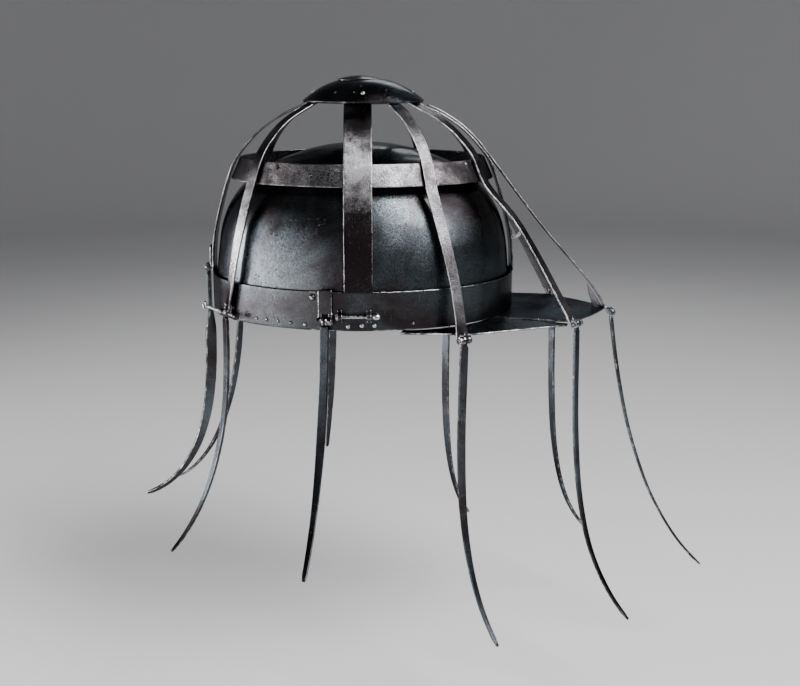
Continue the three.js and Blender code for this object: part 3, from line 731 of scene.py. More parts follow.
def iron(name, finish, rubbed, tone, gloss, grain, worn, coat, painted_shade_heights=None):
    """Blackened iron: clouded blue black with brown in it, fine grain, pits, scratches and
    bare steel along the edges. rubbed is its lighter colour, tone its lightness, gloss its
    smoothest roughness, grain the strength of the fine relief, worn the amount of bare steel
    and coat that of oil. The last argument gives the heights of a painted shade, black below
    the first and rubbed above the second, in place of the dark reflection low on a wide strap."""
    recipe = Recipe(name)
    tarnish = recipe.clouds(scale=17, detail=5, rough=0.6, bend=0.6)
    tarnish = recipe.between(tarnish, low=0.34, high=0.68)
    colour = clouded(recipe, finish, rubbed, tone, tarnish)
    # Painted shade: the wide straps are painted black low down, in place of their dark reflection
    if painted_shade_heights:
        colour = painted_shade_below(recipe, finish, colour, painted_shade_heights)
    speckle = recipe.clouds(scale=900, detail=3, rough=0.75)
    colour = speckled(recipe, finish, colour, speckle, tarnish, grain)
    pit = pitted(recipe)
    colour = rusted(recipe, finish, colour, pit)
    colour = scratched(recipe, finish, colour)
    colour = bared(recipe, finish, colour, worn)
    recipe.feed(recipe.shader.inputs["Base Color"], colour)

    dull = recipe.clouds(scale=26, detail=4, rough=0.6)
    dull = recipe.between(dull, low=0.3, high=0.75, to_low=gloss, to_high=gloss + CLOUD_DULLS)
    dull = recipe.math("ADD", dull, recipe.math("MULTIPLY", pit, PIT_DULLS))
    recipe.feed(recipe.shader.inputs["Roughness"], dull)
    recipe.shader.inputs["Metallic"].default_value = 1.0
    recipe.shader.inputs["Specular Tint"].default_value = EDGE_TINT
    recipe.shader.inputs["Coat Weight"].default_value = coat
    recipe.shader.inputs["Coat Roughness"].default_value = COAT_ROUGHNESS
    recipe.feed(recipe.shader.inputs["Normal"], iron_relief(recipe, speckle, pit, grain))
    return recipe.material


def steel(name, finish):
    """Handled steel: brushed grey with dark stains in the low places."""
    recipe = Recipe(name)
    stain = recipe.clouds(scale=260, detail=4, rough=0.65)
    stain = recipe.between(stain, low=0.42, high=0.66)
    colour = recipe.mix(stain, rgba(finish.worn, gain=0.9), rgba(finish.blue, gain=1.2))
    bare = recipe.between(recipe.wear(), low=0.5, high=1.0)
    bare = recipe.math("MULTIPLY", bare, STEEL_BARE)
    colour = recipe.mix(bare, colour, rgba(finish.worn, gain=1.5))
    recipe.feed(recipe.shader.inputs["Base Color"], colour)
    dull = recipe.clouds(scale=420, detail=3, rough=0.6)
    dull = recipe.between(dull, low=0.3, high=0.7, to_low=0.2, to_high=0.42)
    recipe.feed(recipe.shader.inputs["Roughness"], dull)
    recipe.shader.inputs["Metallic"].default_value = 1.0
    grain = recipe.clouds(scale=900, detail=3, rough=0.6)
    relief = recipe.bump(grain, strength=0.4, depth=STEEL_DEPTH)
    recipe.feed(recipe.shader.inputs["Normal"], relief)
    return recipe.material


def plain(name, colour, roughness):
    """Evenly coloured stage surface."""
    recipe = Recipe(name)
    recipe.shader.inputs["Base Color"].default_value = rgba(colour)
    recipe.shader.inputs["Roughness"].default_value = roughness
    return recipe.material


# How much the black keeps of its gloss where it is seen at a flat angle
EDGE_TINT = (0.36, 0.37, 0.38, 1)
# Roughness of the thin film of oil on it
COAT_ROUGHNESS = 0.16

# The finishes of the iron: lighter colour, lightness, smoothest roughness, grain, bare steel,
# film of oil, and for the wide straps the heights of a painted shade: black below, lighter above
FINISHES = {
    "hammered_black": {
        "rubbed": "blue", "tone": 1.05, "gloss": 0.08, "grain": 0.85, "worn": 0.6, "coat": 0.3},
    "banded_black": {
        "rubbed": "blue", "tone": 0.95, "gloss": 0.1, "grain": 0.85, "worn": 0.8, "coat": 0.3},
    "strap_grey": {
        "rubbed": "grey", "tone": 1.25, "gloss": 0.1, "grain": 1.0, "worn": 0.6, "coat": 0.1,
        # Painted shade: black below the first height, grey above the second
        "painted_shade_heights": (82 * MM, 108 * MM)},
    "shoulder_grey": {
        "rubbed": "grey", "tone": 1.0, "gloss": 0.1, "grain": 1.0, "worn": 0.6, "coat": 0.1},
    "rubbed_grey": {
        "rubbed": "grey", "tone": 1.15, "gloss": 0.14, "grain": 0.8, "worn": 0.8, "coat": 0.08},
    "drawn_black": {
        "rubbed": "blue", "tone": 1.0, "gloss": 0.16, "grain": 0.6, "worn": 0.9, "coat": 0.15},
    "peak_black": {
        "rubbed": "blue", "tone": 1.1, "gloss": 0.2, "grain": 1.0, "worn": 0.8, "coat": 0.05},
    "hinge_black": {
        "rubbed": "blue", "tone": 1.3, "gloss": 0.2, "grain": 0.6, "worn": 1.0, "coat": 0.15},
}


def finish_of(name):
    """The material of that name, made when it is first asked for."""
    if name in bpy.data.materials:
        return bpy.data.materials[name]
    finish = bpy.context.scene.helmet_finish
    if name == "rubbed_steel":
        return steel(name, finish)
    amounts = dict(FINISHES[name])
    rubbed = getattr(finish, amounts.pop("rubbed"))
    return iron(name, finish, rubbed, **amounts)


# The skull: lines up its face and steps round it, radius of the small hole left for its
# pole, the height of the filed rim with its wear, how much smaller its ripples are than its
# dents, how far all dents lie inwards, the heights between which they set in, and how fast
# the face turns upwards with height
SKULL_LINES = 64
SKULL_STEPS = 180
SKULL_POLE = 0.2 * MM
SKULL_RIM = 0.3 * MM
SKULL_RIM_WEAR = 0.9
RIPPLE_SHARE = 0.32
DENT_INWARDS = 0.6
DENTS_FROM = 24 * MM
DENTS_FULL = 50 * MM
SKULL_TURN = 6


def skull_dent(place, depth):
    """How far the hammered skull stands out at a place, below 0 in a dent."""
    dip = waver(place, SKULL_DENTS, depth) + waver(place, SKULL_RIPPLES, depth * RIPPLE_SHARE)
    return (dip - depth * DENT_INWARDS) * smoothstep(place.z, DENTS_FROM, DENTS_FULL)


def make_skull(sizes):
    """Thin oval dome with the shallow dents of raising it by hammer."""
    outer = through([(radius * MM, height * MM) for radius, height in SKULL_FACE], SKULL_LINES)
    inner = []
    for i, point in enumerate(outer):
        along = (outer[min(i + 1, SKULL_LINES)] - outer[max(i - 1, 0)]).normalized()
        inner.append(point + Vector((-along.y, along.x)) * sizes.skull_thick)
    rings = []
    for point in [*reversed(inner), *outer]:
        radius = max(point.x, SKULL_POLE)
        height = max(point.y, 0)
        wear = SKULL_RIM_WEAR if height < SKULL_RIM else 0.0
        ring = []
        for step in range(SKULL_STEPS):
            angle = math.tau * step / SKULL_STEPS
            place = on_oval(angle, radius, height)
            turn = UP * height * SKULL_TURN * (1 - radius / RIM.x)
            out = (oval_out(angle) * radius / RIM.x + turn).normalized()
            ring.append((place + out * skull_dent(place, sizes.dent), wear))
        rings.append(ring)
    piece = Piece()
    piece.skin(rings)
    piece.finish("raised_skull", finish_of("hammered_black"), "black_iron", replaces=["skull_bowl"])


# The bands: steps round them, how far the brow band's face lies inside its outline, and the
# places between which its edges go from dull at the back to worn in front
BAND_STEPS = 288
BROW_INSET = 0.1 * MM
DULL_BEHIND = -48 * MM
WORN_BEFORE = -34 * MM
DULL_WEAR = 0.1
UPPER_BAND_WEAR = 0.7
# How far the two side straps stand behind the middle of the helmet
SIDE_STRAP_BACK = 3 * MM


def under_strap(angle, half_width):
    """1 where one of the four wide straps stands on the rim, and 0 elsewhere."""
    place = on_oval(angle, RIM.x, 0)
    along_side = abs(place.x + SIDE_STRAP_BACK) < half_width and abs(place.y) > RIM.y / 2
    across_end = abs(place.y) < half_width
    return 1.0 if along_side or across_end else 0.0


def brow_wear(face, angle, half_width):
    """Wear of the brow band's edges: little at the back and under the wide straps."""
    handled = smoothstep(face.x, DULL_BEHIND, WORN_BEFORE)
    open_air = 1 - under_strap(angle, half_width)
    return (DULL_WEAR + (1 - DULL_WEAR) * handled) * (DULL_WEAR + (1 - DULL_WEAR) * open_air)


def make_brow_band(sizes):
    """Broad band round the rim, level above and a little uneven below."""
    inset = sizes.band_thick / 2 + BROW_INSET
    stations = []
    for step in range(BAND_STEPS):
        angle = math.tau * step / BAND_STEPS
        out = oval_out(angle)
        face = on_oval(angle, RIM.x, RIM.z / 2)
        place = face + out * (waver(face, *BROW_FACE_WAVES) - inset)
        height = RIM.z + waver(face, *BROW_EDGE_WAVES)
        wear = brow_wear(face, angle, sizes.wide_strap / 2)
        stations.append((place, UP, out, height, sizes.band_thick, wear))
    piece = Piece()
    sweep(piece, stations, sizes.edge, closed=True)
    piece.finish("brow_hoop", finish_of("banded_black"), "black_iron", replaces=["brow_band"])


def make_upper_band(sizes):
    """Narrow slanted band that the straps cross."""
    low_height, high_height = UPPER_BAND[0].z, UPPER_BAND[1].z
    low_radius = UPPER_BAND[1].x
    high_radius = low_radius - (frame_radius(low_height) - frame_radius(high_height))
    stations = []
    for step in range(BAND_STEPS):
        angle = math.tau * step / BAND_STEPS
        low = on_oval(angle, low_radius, low_height)
        high = on_oval(angle, high_radius, high_height)
        up = (high - low).normalized()
        round_it = Vector((-math.sin(angle), OVAL * math.cos(angle), 0)).normalized()
        out = round_it.cross(up).normalized()
        place = (low + high) / 2 - out * sizes.band_thick / 2
        place += out * waver(place, *UPPER_FACE_WAVES)
        width = (high - low).length + waver(place, *UPPER_EDGE_WAVES)
        stations.append((place, up, out, width, sizes.band_thick, UPPER_BAND_WEAR))
    piece = Piece()
    sweep(piece, stations, sizes.edge, closed=True)
    piece.finish("shoulder_hoop", finish_of("shoulder_grey"), "strap_iron", replaces=["upper_band"])


WIDE_STRAP_STEPS = 90


def make_wide_strap(sizes, name, heading, shift, squeeze):
    """Wide strap from the brow band to the crown disc; it meets the brow band flush."""
    out_level = Vector((math.cos(heading), math.sin(heading), 0))
    across = out_level.cross(UP)
    line = evenly([Vector((point.x * squeeze, point.y)) for point in FRAME_LINE], WIDE_STRAP_STEPS)
    stations = []
    for i, point in enumerate(line):
        along = (line[min(i + 1, WIDE_STRAP_STEPS)] - line[max(i - 1, 0)]).normalized()
        out = out_level * along.y - UP * along.x
        face = out_level * point.x + UP * point.y + Vector((shift, 0, 0))
        place = face - out * sizes.strap_thick / 2
        place += out * waver(face, *STRAP_FACE_WAVES)
        width = sizes.wide_strap + waver(face, *STRAP_EDGE_WAVES)
        stations.append((place, across, out, width, sizes.strap_thick, 1.0))
    piece = Piece()
    sweep(piece, stations, sizes.edge)
    # Its finish paints shade on the lower part of the strap: black below, grey above
    piece.finish(f"{name}_plate", finish_of("strap_grey"), "strap_iron", replaces=[name])


def make_wide_straps(sizes):
    """The four wide straps: front, rear and both sides."""
    make_wide_strap(sizes, "wide_strap_front", 0, 0, 1)
    make_wide_strap(sizes, "wide_strap_rear", math.pi, 0, 1)
    make_wide_strap(sizes, "wide_strap_right", -math.pi / 2, -SIDE_STRAP_BACK, OVAL)
    make_wide_strap(sizes, "wide_strap_left", math.pi / 2, -SIDE_STRAP_BACK, OVAL)


# The crown disc, from the frame: its middle and half length, the height of its rim and its
# depth, and the radius of the ball that its rivets stand out from
CROWN_LOW, CROWN_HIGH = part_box("crown_disc")
CROWN_MIDDLE = (CROWN_LOW.x + CROWN_HIGH.x) / 2
CROWN_REACH = (CROWN_HIGH.x - CROWN_LOW.x) / 2
CROWN_RIM = 159.5 * MM
CROWN_SAG = CROWN_HIGH.z - CROWN_RIM
CROWN_BALL = (CROWN_REACH ** 2 + CROWN_SAG ** 2) / (2 * CROWN_SAG)
# How much flatter it is in the middle than at its rim
CROWN_POWER = 2.5
# Its sheet, lines from the rim to the middle, how much closer they stand at the rim, radius
# of the small hole left in the middle, and steps round it
CROWN_THICK = 1.6 * MM
CROWN_LINES = 40
CROWN_CROWDING = 1.3
CROWN_POLE = 0.3 * MM
CROWN_STEPS = 144
# Its lip, as shares of its reach: where it starts to shine, the lower face and the middle of
# the rim, how far down the sheet that lies, and the wear of the lip and the rim
LIP_FROM = 0.97
LOWER_FACE = 0.985
RIM_MIDDLE = 0.996
RIM_DOWN = 0.55
CROWN_LIP_WEAR = 0.6
CROWN_RIM_WEAR = 0.65
# Radius and rise of its small rivets, then of the four large ones how deep they are sunk,
# their radius as a share of the solid's, and their rise
SMALL_RIVET = (0.9 * MM, 0.5 * MM)
LARGE_RIVET_SUNK = 0.6 * MM
LARGE_RIVET_SHARE = 0.75
LARGE_RIVET_RISE = 1.2 * MM
# The raised middle: its radius, how far it lies behind the origin and steps round it
BUTTON_RADIUS = 16.8 * MM
BUTTON_BACK = 2 * MM
BUTTON_STEPS = 96


def crown_height(radius):
    """Height of the crown disc's upper face at a distance from its middle."""
    return CROWN_HIGH.z - CROWN_SAG * (radius / CROWN_REACH) ** CROWN_POWER


def crown_ring(radius, height, wear, forward, steps):
    """One ring of the crown, a little uneven."""
    ring = []
    for step in range(steps):
        place = on_oval(math.tau * step / steps, radius, height) + Vector((forward, 0, 0))
        place.z += waver(place, *CROWN_WAVES)
        ring.append((place, wear))
    return ring


def crown_out(place):
    """Direction in which a rivet stands on the crown."""
    return Vector((place.x / CROWN_BALL, place.y / CROWN_BALL, 1)).normalized()


def make_crown_disc():
    """Shallow disc on top, with a thin worn lip and small rivet heads."""
    upper = []
    for step in range(CROWN_LINES):
        inwards = (step / CROWN_LINES) ** CROWN_CROWDING
        radius = max(CROWN_REACH * (1 - inwards), CROWN_POLE)
        wear = CROWN_LIP_WEAR * smoothstep(radius, CROWN_REACH * LIP_FROM, CROWN_REACH)
        upper.append((radius, crown_height(radius), wear))
    under = [(radius * LOWER_FACE, height - CROWN_THICK, 0.0) for radius, height, _ in upper]
    rim_height = crown_height(CROWN_REACH) - CROWN_THICK * RIM_DOWN
    rim = (CROWN_REACH * RIM_MIDDLE, rim_height, CROWN_RIM_WEAR)
    piece = Piece()
    piece.skin([crown_ring(radius, height, wear, CROWN_MIDDLE, CROWN_STEPS)
                for radius, height, wear in [*reversed(under), rim, *upper]])
    for distance, degrees in DISC_RIVETS:
        radius = distance * MM
        place = on_oval(math.radians(degrees), radius, crown_height(radius))
        place += Vector((CROWN_MIDDLE, 0, 0))
        dome(piece, place, crown_out(place), *SMALL_RIVET)
    piece.finish("crown_cap", finish_of("banded_black"), "black_iron", replaces=["crown_disc"])


def make_crown_button():
    """Low raised middle of the disc."""
    rings = []
    for share, rise, wear in BUTTON:
        radius = BUTTON_RADIUS * share
        height = crown_height(radius) + rise * MM
        rings.append(crown_ring(radius, height, wear, -BUTTON_BACK, BUTTON_STEPS))
    piece = Piece()
    piece.skin(rings)
    piece.finish("crown_button", finish_of("banded_black"), "black_iron", replaces=["crown_boss"])


def make_crown_rivets():
    """The four rivets that hold the disc to the wide straps."""
    for side in ("front", "left", "rear", "right"):
        node = f"crown_rivet_{side}"
        low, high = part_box(node)
        place = (low + high) / 2
        radius = (high.x - low.x) / 2 * LARGE_RIVET_SHARE
        out = crown_out(place)
        piece = Piece()
        dome(piece, place - out * LARGE_RIVET_SUNK, out, radius, LARGE_RIVET_RISE)
        piece.finish(f"{node}_head", finish_of("rubbed_steel"), "worn_steel", replaces=[node])


# The peak starts this far inside the brow band's outline, and there stays this far below it
TUCK_UNDER = 2.4 * MM
CLEAR_BELOW = 0.35 * MM
# A place counts as under the band within this share of its outline
UNDER_BAND = 1.005
# The sheets' upper faces lie this far below those of the solids
PEAK_SUNK = 0.3 * MM
# Slope of the flat part towards the tip, and the low ridge there: where it starts and is
# full, its half width and its rise
PEAK_SLOPE = -0.05
RIDGE_FROM = 120 * MM
RIDGE_FULL = 175 * MM
RIDGE_HALF = 40 * MM
RIDGE_RISE = 1.8 * MM
# A wing's upper face: height over the origin, and slopes forward and sideways
WING_HEIGHT = 14.87 * MM
WING_SLOPE = (-0.07677, -0.1404)
# The gap between a wing and the flat part
CREASE_GAP = 0.45 * MM
# Where a wing starts at the rim, as a share of the rim's half breadth
WING_START = 0.975
# The peak's sheet, as a share of the plates' thickness
PEAK_SHEET = 0.8
# Lines across and along the flat part, round a wing and out along it
PLATE_ACROSS = 40
PLATE_ALONG = 24
PLATE_EDGE = 30
WING_LINES = 44
WING_OUT = 12
WING_RIM = 16
# The extra line close to a sheet's rim, as a share of its breadth
RIM_LINE = 0.012


def rim_place(share):
    """Place just under the brow band at a share of its half breadth to the left."""
    side = share * (RIM.y - TUCK_UNDER)
    return Vector(((RIM.x - TUCK_UNDER) * math.sqrt(1 - share * share), side))


def under_rim(place, height):
    """Height kept below the brow band for a place inside its outline."""
    inside = math.hypot(place.x / RIM.x, place.y / RIM.y) < UNDER_BAND
    return min(height, -CLEAR_BELOW) if inside else height


def shares(count):
    """Even shares from 0 to 1 with one more line close to each end."""
    inner = [step / count for step in range(1, count)]
    return [0.0, RIM_LINE, *inner, 1 - RIM_LINE, 1.0]


def plate_place(spot, side, top):
    """Place on the flat part of the peak above a spot of its left half, or its mirror."""
    place = Vector((spot.x, spot.y * side, 0))
    ridge = smoothstep(place.x, RIDGE_FROM, RIDGE_FULL) * (1 - abs(place.y) / RIDGE_HALF)
    height = top + PEAK_SLOPE * (place.x - CREASE_BACK[0] * MM) - PEAK_SUNK
    height += waver(place, *PLATE_WAVES)
    place.z = under_rim(place, height + max(ridge, 0) * RIDGE_RISE)
    return place


def make_peak_plate(sizes):
    """Flat pointed middle of the peak."""
    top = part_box("peak_plate")[1].z
    outline = (TIP_MIDDLE, TIP_CORNER, SHOULDER, CREASE_FRONT)
    half_front = through([Vector(corner) * MM for corner in outline], PLATE_EDGE)
    grid = []
    for across in [1 - 2 * share for share in shares(PLATE_ACROSS)]:
        side = 1 if across >= 0 else -1
        edge = half_front[round(abs(across) * PLATE_EDGE)]
        start = rim_place(abs(across) * CREASE_BACK[1] * MM / (RIM.y - TUCK_UNDER))
        grid.append([plate_place(start.lerp(edge, share), side, top) for share in shares(PLATE_ALONG)])
    piece = Piece()
    sheet(piece, grid, sizes.peak_thick * PEAK_SHEET)
    piece.finish("peak_blade", finish_of("peak_black"), "black_iron", replaces=["peak_plate"])


def wing_place(spot, side):
    """Place on the left wing above a spot, or its mirror on the right one."""
    place = Vector((spot.x, spot.y * side, 0))
    height = WING_HEIGHT + WING_SLOPE[0] * spot.x + WING_SLOPE[1] * spot.y - PEAK_SUNK
    place.z = under_rim(place, height + waver(place, *WING_WAVES))
    return place


def make_peak_wings(sizes):
    """Drooping wing at each side of the peak."""
    end = (CREASE_BACK[1] * MM + CREASE_GAP) / (RIM.y - TUCK_UNDER)
    inner_line = []
    for step in range(WING_RIM + 1):
        inner_line.append(rim_place(WING_START + (end - WING_START) * step / WING_RIM))
    inner_line.append(Vector(CREASE_FRONT) * MM + Vector((0, CREASE_GAP)))
    outer_line = [Vector(corner) * MM for corner in (WING_BACK, WING_CORNER, WING_FRONT)]
    inner_places = evenly(inner_line, WING_LINES)
    outer_places = evenly(outer_line, WING_LINES)
    for side, name in ((1, "left"), (-1, "right")):
        grid = []
        for near, far in zip(inner_places[1:], outer_places[1:]):
            grid.append([wing_place(near.lerp(far, share), side) for share in shares(WING_OUT)])
        piece = Piece()
        sheet(piece, grid, sizes.peak_thick * PEAK_SHEET)
        node = f"peak_wing_{name}"
        piece.finish(f"{node}_sheet", finish_of("peak_black"), "black_iron", replaces=[node])


class Hinge:
    """Where a leg turns: its centre, the level way out, and the pin's direction."""

    def __init__(self, leg):
        joint = HINGES[leg]
        self.centre = Vector(joint["pos_m"])
        axis = Vector(joint["axis"]).normalized()
        self.out = UP.cross(axis)
        self.pin = -axis


# Hinges: width of an ear and of the eye between the two, and the play of the eye
EAR_WIDTH = 2.9 * MM
EYE_WIDTH = 4 * MM
EYE_PLAY = 0.6 * MM
EAR_PLACE = (EYE_WIDTH + EYE_PLAY + EAR_WIDTH) / 2
EAR_WEAR = 0.8
# An ear's strip: its thickness as a share of the strap's, steps down to the pin, and how far
# and in how many steps it curls round it
EAR_THIN = 0.94
EAR_STEPS = 4
CURL_DEGREES = 300
CURL_STEPS = 24


def add_ears(piece, sizes, hinge, above, face):
    """Two rolled ears: each runs down from above and curls round the pin."""
    thick = sizes.strap_thick * EAR_THIN
    curl = sizes.barrel - thick / 2
    down = (hinge.centre - face * curl - above).normalized()
    inward = -(face - down * face.dot(down)).normalized()
    for side in (-1, 1):
        shift = hinge.pin * EAR_PLACE * side
        stations = []
        for step in range(EAR_STEPS):
            place = above.lerp(hinge.centre + inward * curl, step / EAR_STEPS) + shift
            stations.append((place, hinge.pin, -inward, EAR_WIDTH, thick, 1.0))
        for step in range(CURL_STEPS + 1):
            angle = math.radians(CURL_DEGREES * step / CURL_STEPS)
            radial = inward * math.cos(angle) + down * math.sin(angle)
            place = hinge.centre + radial * curl + shift
            stations.append((place, hinge.pin, -radial, EAR_WIDTH, thick, 1.0))
        start = len(piece.points)
        sweep(piece, filed_ends(stations, sizes.edge), sizes.edge)
        for number in range(start, len(piece.points)):
            piece.wear[number] = max(piece.wear[number], EAR_WEAR)


# Leg straps: steps along one, how far before its pin it gives way to the ears, how far the
# ears reach back over its end, and how much wider it gets between two distances from the pin
LEG_STRAP_STEPS = 110
STRAP_STOPS = 4.6 * MM
EARS_OVERLAP = 2 * MM
FLARE = 1.3 * MM
FLARE_FULL = 4 * MM
FLARE_FROM = 16 * MM
# How much its face leans upwards, and from which share of its length it turns to the hinge
FACE_LIFT = 0.8
TURN_FROM = 0.55
TIP_TURN_FROM = 0.2
# Where it lies below the crown disc, how far it stands out there and how deep it lies, and
# the height of the upper band where it crosses that
STRAP_TUCK = 39 * MM
STRAP_OUT = 0.1 * MM
STRAP_SUNK = 0.48 * MM
BAND_CROSSING = 99.5 * MM
CROSSING_STEPS = 6
# The strap to the tip lies this far above the frame's face
TIP_STRAP_ABOVE = 0.3 * MM
# The web at its foot: width and chamfer in millimetres
WEB_WIDTH = 2
WEB_EDGE = 0.4


def make_leg_strap(sizes, name, places, hinge, turn_from):
    """Strap through a list of places that flares a little and ends in two rolled ears. From a
    share of its length on it turns its face to the hinge."""
    arrive = (hinge.centre - places[-1]).normalized()
    normal = arrive.cross(hinge.pin).normalized()
    if normal.dot(hinge.out) < 0:
        normal.negate()
    foot = hinge.centre - normal * (sizes.barrel - sizes.strap_thick / 2)
    line = through([*places, foot], LEG_STRAP_STEPS)
    length = (line[1] - line[0]).length * LEG_STRAP_STEPS
    stations = []
    for i, place in enumerate(line):
        left = length * (1 - i / LEG_STRAP_STEPS)
        if left < STRAP_STOPS:
            break
        along = (line[min(i + 1, LEG_STRAP_STEPS)] - line[max(i - 1, 0)]).normalized()
        on_level = Vector((place.x, place.y / OVAL ** 2, 0)).normalized()
        share = smoothstep(i / LEG_STRAP_STEPS, turn_from, 1)
        hint = on_level.lerp(hinge.out, share) + UP * FACE_LIFT
        across = hint.cross(along).normalized()
        out = along.cross(across).normalized()
        width = sizes.leg_strap + FLARE * (1 - smoothstep(left, FLARE_FULL, FLARE_FROM))
        width += waver(place, *LEG_STRAP_EDGE_WAVES)
        above = place + out * waver(place, *LEG_STRAP_FACE_WAVES)
        stations.append((above, across, out, width, sizes.strap_thick, 1.0))
    piece = Piece()
    sweep(piece, filed_ends(stations, sizes.edge), sizes.edge)
    add_ears(piece, sizes, hinge, stations[-1][0] - arrive * EARS_OVERLAP, normal)
    piece.finish(f"{name}_bar", finish_of("rubbed_grey"), "strap_iron", replaces=[name])


def strap_places(side, disc_angle, band_angle, by):
    """Places of a leg strap from under the crown disc over the upper band and on."""
    band_radius = frame_radius(BAND_CROSSING)
    places = []
    for step in range(CROSSING_STEPS + 1):
        share = step / CROSSING_STEPS
        radius = STRAP_TUCK + (band_radius - STRAP_TUCK) * share
        angle = math.radians(disc_angle + (band_angle - disc_angle) * share) * side
        places.append(on_oval(angle, radius + STRAP_OUT, frame_height(radius) - STRAP_SUNK))
    places.extend(mm(x, y * side, z) for x, y, z in by)
    return places


def tip_strap_places(sizes):
    """Places of the strap to the tip, which lies on the front wide strap at first."""
    above = sizes.strap_thick / 2 + TIP_STRAP_ABOVE
    places = []
    for radius in TIP_STRAP_ON_FRAME:
        drop = frame_height((radius - 1) * MM) - frame_height((radius + 1) * MM)
        tilt = Vector((drop / (2 * MM), 0, 1)).normalized()
        places.append(Vector((radius * MM, 0, frame_height(radius * MM))) + tilt * above)
    places.extend(mm(*place) for place in TIP_STRAP_FREE)
    return places


def make_leg_straps(sizes):
    """Straps from the crown disc to the hinges at the front, temples, back and tip."""
    for kind, route in STRAP_ROUTES.items():
        for side, suffix in ((1, "right"), (-1, "left")):
            hinge = Hinge(f"leg_{kind}_{suffix}")
            name = f"leg_strap_{kind}_{suffix}"
            make_leg_strap(sizes, name, strap_places(side, *route), hinge, TURN_FROM)
    places = tip_strap_places(sizes)
    make_leg_strap(sizes, "leg_strap_tip", places, Hinge("leg_tip"), TIP_TURN_FROM)

    piece = Piece()
    slab(piece, TIP_WEB, WEB_WIDTH, WEB_EDGE)
    piece.finish("tip_web", finish_of("rubbed_grey"), "strap_iron", replaces=["tip_gusset"])


# Hinge plates: the leg of each and its height above the pin
LEAVES = {
    "hinge_plate_side_right": ("leg_side_right", 22.5 * MM),
    "hinge_plate_side_left": ("leg_side_left", 22.5 * MM),
    "hinge_plate_rear": ("leg_rear", 17 * MM),
}
# Their width, how far they lie behind the pin, where they start above it and where the ears
# branch off
LEAF_WIDTH = 10 * MM
LEAF_BEHIND = 2.5 * MM
LEAF_FROM = 4.4 * MM
LEAF_EARS = 6 * MM
LEAF_STEPS = 12


def make_hinge_plates(sizes):
    """Short plates that carry the side legs and the rear leg."""
    for name, (leg, rise) in LEAVES.items():
        hinge = Hinge(leg)
        back = hinge.centre - hinge.out * LEAF_BEHIND
        stations = []
        for step in range(LEAF_STEPS + 1):
            height = LEAF_FROM + (rise - LEAF_FROM) * step / LEAF_STEPS
            place = back + UP * height
            place += hinge.out * waver(place, *LEAF_WAVES)
            stations.append((place, -hinge.pin, hinge.out, LEAF_WIDTH, sizes.strap_thick, 1.0))
        piece = Piece()
        sweep(piece, filed_ends(stations, sizes.edge), sizes.edge)
        add_ears(piece, sizes, hinge, back + UP * LEAF_EARS, hinge.out)
        piece.finish(f"{name}_leaf", finish_of("hinge_black"), "strap_iron", replaces=[name])


# The ring on the long pin, in millimetres: radius, half thickness of its wire, its wear,
# distance from the hinge and steps round the wire
RING_RADIUS = 2.7
RING_WIRE = 0.8
RING_WEAR = 0.3
RING_AWAY = 33.6
RING_STEPS = 10
# How far the short pins' heads stay off the ears
PIN_SHOULDER = 0.05 * MM


def make_ring_pin(node, hinge):
    """Long pin with a ring at its far end and a knob at its near one."""
    wire = []
    for step in range(RING_STEPS):
        angle = math.tau * step / RING_STEPS
        radius = RING_RADIUS + RING_WIRE * math.cos(angle)
        wire.append((RING_WIRE * math.sin(angle), radius, RING_WEAR))
    rod = Piece()
    spin(rod, hinge.centre, hinge.pin, scaled(RING_ROD))
    hoop(rod, hinge.centre - hinge.pin * RING_AWAY * MM, hinge.out, scaled(wire))
    rod.finish("ring_pin_rod", finish_of("rubbed_steel"), "worn_steel", replaces=[node])
    knob = Piece()
    spin(knob, hinge.centre, hinge.pin, scaled(RING_PIN_KNOB))
    knob.finish("ring_pin_knob", finish_of("hinge_black"), "worn_steel")


def make_short_pin(sizes, node, hinge):
    """Pin with a flat round head at each end."""
    ear_face = EAR_PLACE + EAR_WIDTH / 2
    head = [(ear_face + along, radius, wear) for along, radius, wear in scaled(PIN_HEAD)]
    head.append((ear_face + PIN_SHOULDER, sizes.pin, 0.0))
    profile = [(-along, radius, wear) for along, radius, wear in head]
    profile.extend(reversed(head))
    piece = Piece()
    spin(piece, hinge.centre, hinge.pin, profile)
    piece.finish(f"{node}_rod", finish_of("hinge_black"), "worn_steel", replaces=[node])


def make_pins(sizes):
    """A headed pin through each hinge; the right back one is long, with a knob and a ring."""
    for leg in HINGES:
        node = leg.replace("leg_", "pin_")
        if node == "pin_back_right":
            make_ring_pin(node, Hinge(leg))
        else:
            make_short_pin(sizes, node, Hinge(leg))


# Legs: steps along one, where the blade comes out of its eye, where it reaches its full
# width after the neck, and its width at the tip
LEG_STEPS = 120
BLADE_FROM = 1.9 * MM
NECK_FROM = 3.4 * MM
NECK_TO = 5.6 * MM
NECK_WIDTH = EYE_WIDTH - 0.1 * MM
TIP_WIDTH = 3.6 * MM
# Shares of the length between which it narrows to that, and from which its end is filed,
# with the shares of the width and thickness that go there
TAPER = (0.35, 1.05)
FILED_FROM = 0.975
FILED_WIDTH = 0.3
FILED_THICK = 0.25
# Thickness at the top, how much of it goes towards the tip, and the roundness of the edges
LEG_THICK = 2.6 * MM
LEG_THINNING = 0.6 * MM
LEG_EDGE = 0.55 * MM
# Wear of the edges, and how much more there is at the tip, from a share of the length on
LEG_WEAR = 0.75
TIP_WEAR = 0.25
TIP_WEAR_FROM = 0.8
# The rear leg is twisted by this angle between these shares of its length
REAR_TWIST = 1.05
TWIST = (0.14, 0.27)
# The eye: its chamfer, the wear of its faces and the play on the pin
EYE_CHAMFER = 0.4 * MM
EYE_WEAR = 0.4
PIN_PLAY = 0.3 * MM


def leg_direction(hinge, lean, share):
    """Direction of a leg at a share of its length."""
    angle = lean[0] + lean[1] * share + lean[2] * share ** 3
    return hinge.out * math.sin(angle) - UP * math.cos(angle)


